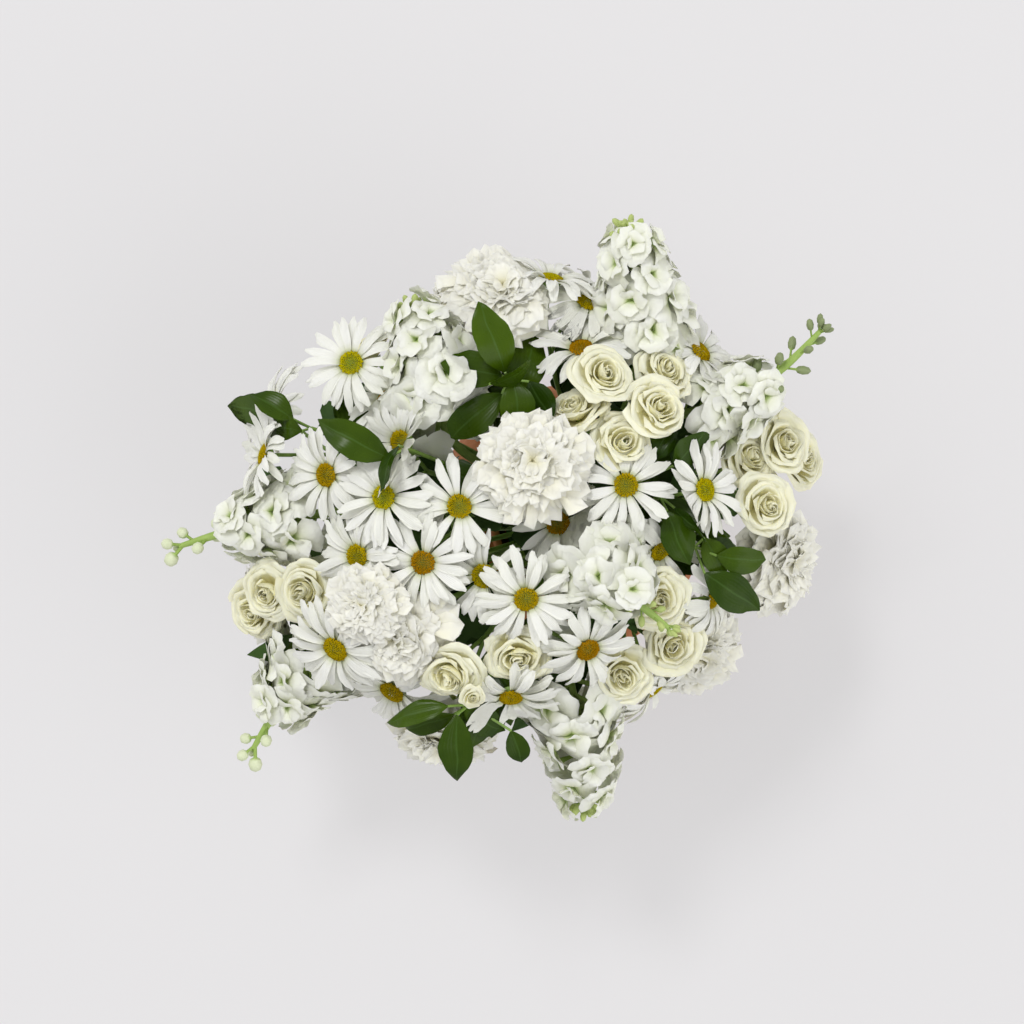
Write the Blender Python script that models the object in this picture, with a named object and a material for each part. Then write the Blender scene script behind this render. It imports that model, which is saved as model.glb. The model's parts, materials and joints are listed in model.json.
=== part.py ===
"""Floral table centerpiece: a domed bouquet of cut stems standing in floral foam, in a terracotta bowl.

Metres, +Z up. The origin is the middle of the bowl's foot, on the surface that the bowl stands on. The tables
give the flowers' places in millimetres from the bouquet's middle: x to the right and y to the back, as seen
from above.
"""

import math
from dataclasses import dataclass, field
from typing import NamedTuple

import bmesh
import bpy
import numpy as np
from mathutils.kdtree import KDTree

MM = 0.001
GAP = 0.0003  # clear space between any two pieces

# The bowl: round belly, drawn-in mouth, flat foot.
BOWL_HEIGHT = 0.120
BOWL_FOOT_RADIUS = 0.058
BOWL_BELLY_RADIUS = 0.096
BOWL_BELLY_HEIGHT = 0.058
BOWL_MOUTH_RADIUS = 0.050
BOWL_WALL = 0.006
BOWL_FLOOR = 0.008
BOWL_EDGE = 0.004  # how far the foot's slope and the lip's thickening reach
LIP_ROUNDING = 0.0015
BOWL_SEGMENTS = 18

# The foam block: round, standing on the bowl's floor.
FOAM_RADIUS = 0.0465
FOAM_TOP = 0.111
FOAM_SEGMENTS = 12

# The dome that the blooms lie on. The bouquet's middle is off the bowl's axis, to the left.
BOUQUET_MIDDLE = (-0.045, 0.0)
DOME_RADIUS = 0.215
DOME_BASE = 0.120
DOME_RISE = 0.160
EDGE_NOD = 74.0  # degrees that a bloom at the dome's edge leans out

# How stems enter the foam: where a bloom's place on the dome, made smaller, falls on the foam.
ENTRY_SHRINK = 0.20
ENTRY_LIMIT = 0.0405
ENTRY_SPACING = 0.0088
STEM_DEPTH = 0.020
FOCUS = np.array((0.0, 0.0, -0.010))  # the point below the foam that the stems' feet aim at
HOLE_CLEARANCE = 0.00045
STRAIGHT_RUN = 0.004  # how far a stem goes on straight above the foam

DAISY_REACH = 0.033
ROSE_REACH = 0.021
CARNATION_REACH = 0.036
FLORET_REACH = 0.021
FLORET_TUBE = 0.018
RAY_ROOT_TOP = 0.0006
RAY_ROOT_BACK = 0.0014
RAY_UNEVENNESS = 0.05
RAY_WIDEST = 0.80  # share of a ray's length

DAISY_STEM = 0.0017
ROSE_STEM = 0.0018
CARNATION_STEM = 0.0020
STOCK_STEM = 0.0032
LEAF_STEM = 0.0014
LEAF_STALK = 0.0009
STALK_RUN = 0.012  # how far behind and below its leaves a foliage stem forks
STALK_RISE = 0.009
LEAF_RIB = 0.0007  # half the blade's thickness along its rib
LEAF_ARCH = 0.10
LEAF_CUP = 0.0015
LEAF_SECTIONS = ((0.22, 0.80), (0.50, 1.0), (0.80, 0.62))  # shares of the length and of the width
GOLDEN_ANGLE = 2.4  # radians from one floret to the next round a stock's stem
STEM_SIDES = 4
BRANCH_SIDES = 3
WALL_GAP = 1.5 * GAP  # clear space between two heads that are parted by a wall
STEM_ROOM = 0.0016  # clear space that bent stems keep
WIDEST_CORE = 0.022
EASE = 0.30  # share of what's missing that a stem moves at a time
SOFT_SHARE = 0.72  # share of the room to a wall within which nothing is moved
FLAT_ANGLE = 0.002  # radians between faces that count as one flat face


class Bloom(NamedTuple):
    """A head's place (x, y and lift off the dome, in mm), its extra turn and nod in degrees, and its size."""

    x: float
    y: float
    lift: float = 0.0
    turn: float = 0.0
    nod: float = 0.0
    size: float = 1.0


class Spike(NamedTuple):
    """A stock's flowering end: points (x, y, height) in mm along it, and how many florets and buds it has."""

    path: tuple
    florets: int
    buds: int


class Leaf(NamedTuple):
    """A leaf: its root's x, y and lift, heading, droop and roll in degrees, length and width in mm."""

    x: float
    y: float
    lift: float
    heading: float
    droop: float
    roll: float
    length: float
    width: float


DAISY_SPRAYS = [
    [Bloom(-103, 105, 0, 0, -28), Bloom(-79, 80, -28, 0, 10)],
    [Bloom(-80, 15, 2), Bloom(-69, 52, -12, 40, 10)],
    [Bloom(-119, 30, -6, 20), Bloom(-98, -24, -5, 0, 5)],
    [Bloom(-30, 9), Bloom(-54, -28, -2)],
    [Bloom(-14, -37, -8, -40, 10), Bloom(14, -52, 3)],
    [Bloom(35, -2, -29), Bloom(80, 23, 2, 0, -15)],
    [Bloom(133, 20, 3), Bloom(104, -20, -22, -30, 20)],
    [Bloom(51, 115, -14, 30, 12), Bloom(56, 146, -12, 0, 5)],
    [Bloom(132, 114, -10), Bloom(148, 92, -66, 0, 35)],
    [Bloom(31, 163, -6, 0, 20), Bloom(58, 158, -66, 0, 45)],
    [Bloom(55, -86, -4, 0, 10), Bloom(4, -118, -10, 0, 20)],
    [Bloom(-113, -86, 2, 10, 15), Bloom(-76, -116, -34, 0, 25)],
    [Bloom(141, -52, -24, 0, 17), Bloom(102, -116, -56, 0, 30)],
    [Bloom(-163, 44, -8, 0, 20), Bloom(-160, 78, -48, 0, 5)],
    [Bloom(-165, 5, -76, 0, 45)],
]

ROSE_SPRAYS = [
    [Bloom(67, 98, 10), Bloom(45, 75, -6, 60, 30)],
    [Bloom(109, 101, 0), Bloom(103, 75, 12), Bloom(79, 51, 4)],
    [Bloom(193, 53, -4, 0, -30), Bloom(210, 44, -22, 0, -30)],
    [Bloom(178, 10, -4, 0, -25), Bloom(168, 42, -30, 0, -20)],
    [Bloom(-38, -104, 2), Bloom(8, -92, -2), Bloom(-22, -119, 8, 0, 0, 0.38)],
    [Bloom(-136, -49, -12, 0, -15), Bloom(-162, -49, -14, 0, -20), Bloom(-173, -64, -30, 0, -25)],
    [Bloom(103, -53, -12, 0, -10), Bloom(114, -85, -18, 0, -20), Bloom(79, -105, -22, 0, -15)],
    [Bloom(-98, 118, -80, 0, 40), Bloom(-68, 138, -76, 0, 40)],
    [Bloom(172, 60, -84, 0, 40), Bloom(186, 20, -78, 0, 40)],
]

CARNATIONS = [
    Bloom(17, 36, 8),
    Bloom(-3, 153, -6, 0, -15),
    Bloom(-70, -75, -6),
    Bloom(-92, -56, 10, -20, -10, 0.75),
    Bloom(190, -28, -46, 0, -15),
    Bloom(130, -90, -64, 0, -10),
    Bloom(-43, -146, -62, 0, 15),
    Bloom(-20, 150, -84, 0, 45),
    Bloom(-160, -60, -80, 0, 25),
]

STOCKS = [
    Spike(((92, 122, 196), (90, 150, 226), (82, 194, 256)), 8, 3),
    Spike(((122, 72, 196), (170, 90, 206), (213, 128, 224)), 6, 5),
    Spike(((-128, 4, 196), (-172, -4, 200), (-222, -18, 186)), 6, 4),
    Spike(((-128, -92, 168), (-150, -120, 162), (-174, -158, 150)), 6, 4),
    Spike(((44, -108, 196), (50, -145, 192), (55, -197, 168)), 7, 2),
    Spike(((60, -27, 250), (78, -46, 274), (108, -71, 269)), 5, 4),
    Spike(((-44, 72, 228), (-48, 106, 246), (-64, 140, 238)), 7, 2),
]

RUSCUS = [
    [
        Leaf(0, 98, 2, 112, -5, 10, 50, 28),
        Leaf(-2, 96, -6, 170, 0, 0, 42, 25),
        Leaf(-10, 90, 6, 28, 0, 60, 32, 18),
        Leaf(6, 92, -2, 278, 5, 0, 36, 26),
        Leaf(16, 92, -8, 305, 5, 20, 32, 22),
        Leaf(-2, 84, -14, 220, 10, 0, 48, 24),
    ],
    [
        Leaf(-76, 41, 7, 152, 5, -10, 54, 24),
        Leaf(-70, 49, 12, 254, -6, 55, 31, 14),
    ],
    [
        Leaf(-147, 69, -14, 168, 10, 0, 50, 24),
        Leaf(-143, 68, -10, 150, 10, 20, 34, 20),
        Leaf(-137, 60, -18, 168, 5, 0, 36, 20),
    ],
    [
        Leaf(112, 36, 4, 47, 5, 20, 38, 24),
        Leaf(98, 40, -6, 58, 10, 0, 30, 18),
        Leaf(62, 2, -10, 305, 15, 0, 28, 18),
    ],
    [
        Leaf(108, 6, -4, 294, 10, 10, 40, 22),
        Leaf(113, 8, -4, 324, -4, 40, 33, 16),
    ],
    [
        Leaf(142, -24, -6, 352, 15, 10, 36, 20),
        Leaf(134, -36, -10, 326, 15, 0, 46, 26),
        Leaf(134, -12, -14, 300, 15, 0, 30, 20),
    ],
    [
        Leaf(-38, -124, 6, 197, 20, 20, 46, 18),
        Leaf(-34, -130, -4, 195, 20, -20, 38, 16),
        Leaf(-32, -130, 2, 268, 20, 0, 48, 24),
        Leaf(-28, -126, -8, 327, 25, 0, 40, 20),
        Leaf(4, -142, -18, 290, 30, 0, 26, 16),
    ],
    [
        Leaf(114, 124, -34, 172, -30, 0, 30, 16),
        Leaf(112, 112, -52, 20, 40, 0, 40, 22),
        Leaf(97, 146, -62, 85, 40, 0, 44, 24),
    ],
    [
        Leaf(-118, -70, -60, 213, 40, 0, 40, 20),
        Leaf(-100, -88, -70, 245, 40, 0, 34, 20),
        Leaf(-124, -58, -72, 204, 46, 0, 30, 18),
    ],
]

FINISHES = {
    "white_petal": ((0.88, 0.88, 0.84), 0.55),
    "cream_petal": ((0.87, 0.83, 0.62), 0.55),
    "daisy_disc": ((0.62, 0.42, 0.03), 0.85),
    "green_stem": ((0.24, 0.38, 0.08), 0.50),
    "green_leaf": ((0.03, 0.12, 0.02), 0.30),
    "green_foam": ((0.05, 0.12, 0.05), 0.95),
    "terracotta": ((0.46, 0.16, 0.07), 0.80),
}


@dataclass
class Shell:
    """A closed body: its points, its triangles and each triangle's finish."""

    points: np.ndarray
    faces: list
    finishes: list


@dataclass
class Form:
    """A head, floret, bud or leaf in its place, with the heart that its stem ends in and the way it faces."""

    node: str
    shell: Shell
    heart: np.ndarray
    facing: np.ndarray
    core: float
    walls: list = field(default_factory=list)
    rooted: int = 0  # how many of a leaf's first points, those of its stalk, stay where they are

    def local(self):
        """Its movable points, from its heart."""
        return self.shell.points[self.rooted:] - self.heart


@dataclass
class Stem:
    """A stem or branch: points along its middle, its radius, and which points stay where they are."""

    node: str
    points: np.ndarray
    radius: float
    held: np.ndarray
    sides: int


def unit(vector):
    """The vector made 1 long."""
    return vector / np.linalg.norm(vector)


def axes_along(direction, spin=0.0):
    """A matrix whose columns are two sideways axes, turned by the spin in radians, and the direction."""
    helper = np.array((0.0, 0.0, 1.0)) if abs(direction[2]) < 0.9 else np.array((1.0, 0.0, 0.0))
    side = unit(np.cross(helper, direction))
    other = np.cross(direction, side)
    turned = math.cos(spin) * side + math.sin(spin) * other
    return np.column_stack((turned, np.cross(direction, turned), direction))


def bezier(start, pull, push, end, count):
    """Points along the cubic curve from start to end."""
    t = np.linspace(0.0, 1.0, count)[:, None]
    rest = 1.0 - t
    return rest**3 * start + 3 * rest**2 * t * pull + 3 * rest * t**2 * push + t**3 * end


def ring(count, radius, height, wave=0.0, lift=0.0):
    """A level ring of points. With a wave, every other point lies further in and lower than those between."""
    points = []
    for k in range(count):
        angle = math.tau * k / count
        sign = 1 if k % 2 == 0 else -1
        reach = radius * (1 + sign * wave)
        points.append((reach * math.cos(angle), reach * math.sin(angle), height + sign * lift))
    return points


def join_rings(first, second):
    """Triangles between two rings of point numbers, whatever their counts. A single point closes the body."""
    faces = []
    i = j = 0
    while i < len(first) or j < len(second):
        a = first[i % len(first)]
        b = second[j % len(second)]
        behind = (i + 0.5) * len(second) <= (j + 0.5) * len(first)
        if j == len(second) or (i < len(first) and behind):
            i += 1
            faces.append((a, first[i % len(first)], b))
        else:
            j += 1
            faces.append((a, second[j % len(second)], b))
    return [face for face in faces if len(set(face)) == 3]


def loft(rings, finishes):
    """A closed body through rings of points, from the lowest up. An end of several points is a flat face."""
    points = []
    numbers = []
    for one in rings:
        numbers.append(list(range(len(points), len(points) + len(one))))
        points.extend(one)
    faces = []
    face_finishes = []
    for lower, upper, finish in zip(numbers, numbers[1:], finishes):
        new = join_rings(lower, upper)
        faces.extend(new)
        face_finishes.extend([finish] * len(new))
    for end, finish in ((numbers[0][::-1], finishes[0]), (numbers[-1], finishes[-1])):
        if len(end) > 1:
            faces.append(tuple(end))
            face_finishes.append(finish)
    return Shell(np.array(points), faces, face_finishes)


def rayed_head(rays, reach, root, width, sag, middle, back, colours):
    """A flower head of separate rays round a middle, facing +Z, with its rays' roots at the origin's height.

    Each ray is 2 mm thick at its root and thins out to its tip. Root is the middle's share of the reach,
    width the rays' share of the room round the head, sag how far the tips hang, middle the height of the
    middle and back the depth of the cone behind it.
    """
    ray_finish, middle_finish, back_finish = colours
    points = ring(rays, root * reach, RAY_ROOT_TOP) + ring(rays, root * reach, -RAY_ROOT_BACK)
    faces = []
    step = math.tau / rays
    for k in range(rays):
        length = reach * (1.0 - RAY_UNEVENNESS * (k % 3))
        left, tip, right = range(len(points), len(points) + 3)
        for along, across in ((RAY_WIDEST, -width), (1.0, 0.0), (RAY_WIDEST, width)):
            angle = (k + 0.5 + across * 0.5) * step
            out = length * along
            points.append((out * math.cos(angle), out * math.sin(angle), sag * (root - along) / (1.0 - root)))
        top, next_top = k, (k + 1) % rays
        low, next_low = rays + top, rays + next_top
        faces += [(top, left, tip), (top, tip, right), (top, right, next_top)]
        faces += [(low, tip, left), (low, right, tip), (low, next_low, right)]
        faces += [(top, low, left), (next_top, right, next_low)]
    finishes = [ray_finish] * len(faces)
    edge = list(range(rays))
    if rays > 4:
        crown = list(range(len(points), len(points) + rays // 2))
        points += ring(rays // 2, root * reach * 0.6, middle * 0.8)
        faces += join_rings(edge, crown)
        edge = crown
    points.append((0.0, 0.0, middle))
    faces += join_rings(edge, [len(points) - 1])
    finishes += [middle_finish] * (len(faces) - len(finishes))
    points.append((0.0, 0.0, -back))
    faces += join_rings([len(points) - 1], list(range(rays, 2 * rays)))
    finishes += [back_finish] * (len(faces) - len(finishes))
    return Shell(np.array(points), faces, finishes)


def daisy_head():
    """A daisy chrysanthemum: white rays round a yellow disc."""
    return rayed_head(
        rays=9, reach=DAISY_REACH, root=0.25, width=0.84, sag=0.004, middle=0.0035, back=0.007,
        colours=("white_petal", "daisy_disc", "green_stem"),
    )


def stock_floret():
    """A stock floret: four broad rising petals round a green throat, on a tube whose end is the origin."""
    floret = rayed_head(
        rays=4, reach=FLORET_REACH, root=0.24, width=0.80, sag=-0.003, middle=0.0012, back=FLORET_TUBE,
        colours=("white_petal", "green_stem", "green_stem"),
    )
    floret.points[:, 2] += FLORET_TUBE
    return floret


def rose_head():
    """A spray rose: three rings of lipped petals, each ring higher and smaller, round a rolled heart."""
    reach = ROSE_REACH
    rings = [
        [(0.0, 0.0, -0.66 * reach)],
        ring(5, 0.40 * reach, -0.60 * reach),
        ring(5, 0.86 * reach, -0.28 * reach),
        ring(10, 0.97 * reach, 0.0, 0.05, 0.05 * reach),
        ring(5, 0.70 * reach, -0.22 * reach),
        ring(8, 0.64 * reach, 0.22 * reach, -0.06, -0.05 * reach),
        ring(4, 0.42 * reach, 0.0),
        ring(6, 0.34 * reach, 0.34 * reach, 0.07, 0.04 * reach),
        [(0.0, 0.0, 0.14 * reach)],
    ]
    return loft(rings, ["green_stem"] * 2 + ["cream_petal"] * 6)


def carnation_head():
    """A carnation: four ruffled rings of notched petals, one above another, on a slim green calyx."""
    reach = CARNATION_REACH
    rings = [
        [(0.0, 0.0, -0.80 * reach)],
        ring(4, 0.18 * reach, -0.72 * reach),
        ring(4, 0.21 * reach, -0.30 * reach),
        ring(8, 0.62 * reach, -0.24 * reach),
        ring(16, 0.91 * reach, -0.10 * reach, 0.08, -0.05 * reach),
        ring(8, 0.66 * reach, -0.10 * reach),
        ring(14, 0.72 * reach, 0.16 * reach, -0.08, 0.06 * reach),
        ring(7, 0.45 * reach, 0.08 * reach),
        ring(10, 0.48 * reach, 0.32 * reach, 0.11, -0.05 * reach),
        ring(5, 0.26 * reach, 0.20 * reach),
        ring(6, 0.22 * reach, 0.42 * reach, 0.20, 0.04 * reach),
        [(0.0, 0.0, 0.28 * reach)],
    ]
    return loft(rings, ["green_stem"] * 2 + ["white_petal"] * 9)


def stock_bud(size):
    """A stock bud: a slim closed spindle that widens from its stalk's end at the origin."""
    rings = [
        [(0.0, 0.0, 0.0)],
        ring(3, 0.34 * size, 0.75 * size),
        ring(3, 0.30 * size, 1.15 * size),
        [(0.0, 0.0, 1.45 * size)],
    ]
    return loft(rings, ["green_stem", "green_stem", "white_petal"])


def leaf_axes(leaf):
    """The leaf's directions to its tip, to its left and upward, as a matrix's columns."""
    heading, droop, roll = (math.radians(angle) for angle in (leaf.heading, leaf.droop, leaf.roll))
    level = math.cos(droop)
    along = np.array((level * math.cos(heading), level * math.sin(heading), -math.sin(droop)))
    flat = unit(np.cross((0.0, 0.0, 1.0), along))
    side = math.cos(roll) * flat + math.sin(roll) * np.cross(along, flat)
    return np.column_stack((along, side, np.cross(along, side)))


def ruscus_leaf(leaf, root, fork):
    """A pointed oval leaf at its root, with its stalk from the fork.

    Each section has a left, an upper, a right and a lower point. The blade is thickest along its rib and
    arched from root to tip, and its edges stand a little above the rib.
    """
    length, width = leaf.length * MM, leaf.width * MM
    along, side, up = leaf_axes(leaf).T
    stalk = unit(root - fork)
    points = []
    wide = side
    for place, forward in ((root, unit(stalk + along)), (fork, stalk)):
        wide = unit(wide - forward * wide.dot(forward)) * LEAF_STALK
        tall = np.cross(forward, wide)
        points = [place + wide, place + tall, place - wide, place - tall] + points
    for share, breadth in LEAF_SECTIONS:
        place = root + along * share * length + up * LEAF_ARCH * length * (1 - (2 * share - 1) ** 2)
        wide = side * breadth * width * 0.5
        edge = up * LEAF_CUP * breadth
        points += [place + wide + edge, place + up * LEAF_RIB, place - wide + edge, place - up * LEAF_RIB]
    tip = len(points)
    points.append(root + along * length)
    faces = [(0, 1, 2), (0, 2, 3)]
    for first in range(0, tip, 4):
        second = first + 4
        for k in range(4):
            a, b = first + k, first + (k + 1) % 4
            if second == tip:
                faces.append((b, a, tip))
            else:
                c, d = second + k, second + (k + 1) % 4
                faces += [(b, a, c), (b, c, d)] if k % 2 == 0 else [(b, a, d), (a, c, d)]
    return Shell(np.array(points), faces, ["green_leaf"] * len(faces))


def placed(shell, heart, axes):
    """The same body turned by the axes and moved to its heart."""
    return Shell(shell.points @ axes.T + heart, shell.faces, shell.finishes)


def tube(points, radius, sides, finish="green_stem"):
    """A closed rod along the points."""
    runs = [unit(b - a) for a, b in zip(points, points[1:])]
    directions = [runs[0]] + [unit(a + b) for a, b in zip(runs, runs[1:])] + [runs[-1]]
    side = axes_along(directions[0])[:, 0]
    rings = []
    angles = [math.tau * k / sides for k in range(sides)]
    for point, direction in zip(points, directions):
        side = unit(side - direction * side.dot(direction))
        other = np.cross(direction, side)
        rings.append([point + radius * (math.cos(a) * side + math.sin(a) * other) for a in angles])
    return loft(rings, [finish] * (len(rings) - 1))


def on_dome(x, y, lift=0.0):
    """A point of the bouquet: x and y from its middle and the height over the dome there, all in mm."""
    share = min(1.0, math.hypot(x, y) * MM / DOME_RADIUS)
    height = DOME_BASE + DOME_RISE * math.sqrt(1.0 - share * share) + lift * MM
    return np.array((BOUQUET_MIDDLE[0] + x * MM, BOUQUET_MIDDLE[1] + y * MM, height))


def face_of(bloom):
    """The way a bloom faces: straight up in the middle and further out towards the dome's edge."""
    share = min(1.0, math.hypot(bloom.x, bloom.y) * MM / DOME_RADIUS)
    lean = math.radians(EDGE_NOD * share**1.3 + bloom.nod)
    heading = math.atan2(bloom.y, bloom.x) + math.radians(bloom.turn)
    return np.array((math.sin(lean) * math.cos(heading), math.sin(lean) * math.sin(heading), math.cos(lean)))


def foam_entries(targets):
    """Where each stem enters the foam: below what it carries, and no two closer than the spacing."""
    places = np.array([target[:2] for target in targets]) - np.array(BOUQUET_MIDDLE)
    places *= ENTRY_SHRINK
    for _ in range(300):
        for a in range(len(places)):
            for b in range(a):
                apart = places[a] - places[b]
                distance = max(1e-6, np.linalg.norm(apart))
                if distance < ENTRY_SPACING:
                    push = apart / distance * (ENTRY_SPACING - distance) * 0.5
                    places[a] += push
                    places[b] -= push
            radius = np.linalg.norm(places[a])
            if radius > ENTRY_LIMIT:
                places[a] *= ENTRY_LIMIT / radius
    return [np.array((x, y, FOAM_TOP)) for x, y in places]


def main_stem(node, entry, end, facing, radius):
    """A stem: straight through the foam, then in one curve to the end, which it meets from behind."""
    direction = unit(entry - FOCUS)
    foot = entry - direction * STEM_DEPTH
    out = entry + direction * STRAIGHT_RUN
    span = np.linalg.norm(end - out)
    curve = bezier(out, out + direction * span * 0.4, end - facing * span * 0.3, end, 5)
    points = np.vstack((foot[None], curve))
    held = np.zeros(len(points), bool)
    held[[0, 1, -1]] = True
    return Stem(node, points, radius, held, STEM_SIDES)


def branch(node, fork, leaving, end, facing, radius):
    """A side stem from a fork to a head, which it meets from behind."""
    span = np.linalg.norm(end - fork)
    points = bezier(fork, fork + leaving * span * 0.35, end - facing * span * 0.4, end, 3)
    held = np.zeros(len(points), bool)
    held[[0, -1]] = True
    return Stem(node, points, radius, held, BRANCH_SIDES)


def spray(node, blooms, entry, head, radius, core, back=0.0, spin_step=0.0):
    """A cut stem that forks a way back from its heads: its stems and its heads in place."""
    hearts = [on_dome(bloom.x, bloom.y, bloom.lift) for bloom in blooms]
    faces = [face_of(bloom) for bloom in blooms]
    forms = []
    for k, (bloom, heart, face) in enumerate(zip(blooms, hearts, faces)):
        shell = placed(head, heart, axes_along(face, spin_step * k) * bloom.size)
        forms.append(Form(node, shell, heart, face, core * bloom.size))
    if len(hearts) == 1:
        return [main_stem(node, entry, hearts[0], faces[0], radius)], forms
    facing = unit(sum(faces))
    fork = sum(hearts) / len(hearts) - facing * back
    stems = [main_stem(node, entry, fork, unit(fork - entry + 0.05 * facing), radius)]
    leaving = unit(stems[0].points[-1] - stems[0].points[-2])
    stems += [branch(node, fork, leaving, heart, face, radius * 0.8) for heart, face in zip(hearts, faces)]
    return stems, forms


def spike_curve(path, count):
    """Points along a smooth curve through the spike's three points."""
    first, middle, last = (np.array((BOUQUET_MIDDLE[0] + x * MM, y * MM, z * MM)) for x, y, z in path)
    bend = 2.0 * middle - 0.5 * (first + last)
    t = np.linspace(0.0, 1.0, count)[:, None]
    return (1 - t) ** 2 * first + 2 * t * (1 - t) * bend + t**2 * last


def stock(node, spike, entry, floret):
    """A stock stem: florets all round its upper part, then buds up to its tip."""
    curve = spike_curve(spike.path, 5)
    lead = main_stem(node, entry, curve[0], unit(curve[1] - curve[0]), STOCK_STEM)
    points = np.vstack((lead.points, curve[1:]))
    held = np.zeros(len(points), bool)
    held[:2] = True
    held[len(lead.points) - 1:] = True
    forms = []
    total = spike.florets + spike.buds
    steps = 40
    places = spike_curve(spike.path, steps + 1)
    for k in range(total):
        share = k / (total - 1)
        at = min(steps - 1, round(share * steps))
        along = unit(places[at + 1] - places[at])
        outward = axes_along(along, GOLDEN_ANGLE * k)[:, 0]
        is_bud = k >= spike.florets
        face = unit(outward + along * (1.4 if is_bud else 0.5))
        shape = stock_bud(0.010 - 0.003 * share) if is_bud else floret
        shell = placed(shape, places[at], axes_along(face, 0.9 * k))
        forms.append(Form(node, shell, places[at], face, 0.004))
    return [Stem(node, points, STOCK_STEM, held, STEM_SIDES)], forms


def leaf_stem(node, leaves, entry):
    """A foliage stem: it rises to a fork below its leaves, and each leaf's stalk starts inside the fork."""
    roots = [on_dome(leaf.x, leaf.y, leaf.lift) for leaf in leaves]
    behind = [root - leaf_axes(leaf)[:, 0] * STALK_RUN for leaf, root in zip(leaves, roots)]
    fork = sum(behind) / len(behind) - np.array((0.0, 0.0, STALK_RISE))
    direction = unit(fork - entry)
    stem = main_stem(node, entry, fork + direction * 0.003, direction, LEAF_STEM)
    forms = []
    for k, (leaf, root) in enumerate(zip(leaves, roots)):
        shell = ruscus_leaf(leaf, root, fork - direction * 0.0003 * k)
        forms.append(Form(node, shell, root, leaf_axes(leaf)[:, 2], 0.003, rooted=8))
    return [stem], forms


def arc(middle, radii, start, end, count):
    """Points (radius, height) along a quarter oval about the middle, between two angles in degrees."""
    angles = [math.radians(start + (end - start) * k / count) for k in range(1, count + 1)]
    return [(middle[0] + radii[0] * math.cos(a), middle[1] + radii[1] * math.sin(a)) for a in angles]


def bowl_side(inset, foot_height, top_height):
    """The bowl's profile from foot to shoulder as (radius, height) points, moved in by the inset."""
    foot = BOWL_FOOT_RADIUS + BOWL_EDGE
    lip = BOWL_MOUTH_RADIUS + BOWL_WALL
    low = (BOWL_BELLY_RADIUS - foot, BOWL_BELLY_HEIGHT - foot_height)
    high = (BOWL_BELLY_RADIUS - lip, top_height - BOWL_BELLY_HEIGHT)
    points = arc((foot - inset, BOWL_BELLY_HEIGHT), low, -90, 0, 3)
    return points + arc((lip - inset, BOWL_BELLY_HEIGHT), high, 0, 90, 3)


def bowl_outline():
    """The bowl's outer side as (radius, height) points, from the foot's edge up to the top of the lip."""
    points = [(BOWL_FOOT_RADIUS, 0.0), (BOWL_FOOT_RADIUS + BOWL_EDGE, BOWL_EDGE)]
    points += bowl_side(0.0, BOWL_EDGE, BOWL_HEIGHT - BOWL_EDGE)
    return points + [(BOWL_MOUTH_RADIUS + BOWL_WALL - LIP_ROUNDING, BOWL_HEIGHT)]


def bowl_shell():
    """The bowl: its outer side, a level lip and an inner side one wall further in, down to the floor."""
    inside = bowl_side(BOWL_WALL, BOWL_FLOOR, BOWL_HEIGHT - BOWL_EDGE - BOWL_WALL)
    profile = bowl_outline() + [(BOWL_MOUTH_RADIUS + LIP_ROUNDING, BOWL_HEIGHT)] + inside[::-1]
    profile.append((BOWL_FOOT_RADIUS - BOWL_EDGE, BOWL_FLOOR))
    rings = [ring(BOWL_SEGMENTS, radius, height) for radius, height in profile]
    return loft(rings, ["terracotta"] * (len(rings) - 1))


def foam_shell():
    """The foam block: a plain round pillar."""
    rings = [ring(FOAM_SEGMENTS, FOAM_RADIUS, height) for height in (BOWL_FLOOR + GAP, FOAM_TOP)]
    return loft(rings, ["green_foam"])


def bowl_distance(point):
    """How far a point is outside the bowl, and the direction straight away from it."""
    radius = math.hypot(point[0], point[1])
    here = np.array((radius, point[2]))
    outline = [np.array(corner) for corner in bowl_outline()]
    outline.append(np.array((BOWL_MOUTH_RADIUS, BOWL_HEIGHT)))
    nearest = None
    for a, b in zip(outline, outline[1:]):
        share = np.clip(np.dot(here - a, b - a) / np.dot(b - a, b - a), 0.0, 1.0)
        offset = here - (a + share * (b - a))
        distance = np.linalg.norm(offset)
        if nearest is None or distance < nearest[0]:
            nearest = (distance, offset)
    distance, offset = nearest
    away = np.array((offset[0] * point[0] / radius, offset[0] * point[1] / radius, offset[1]))
    return distance, away / max(distance, 1e-9)


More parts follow.
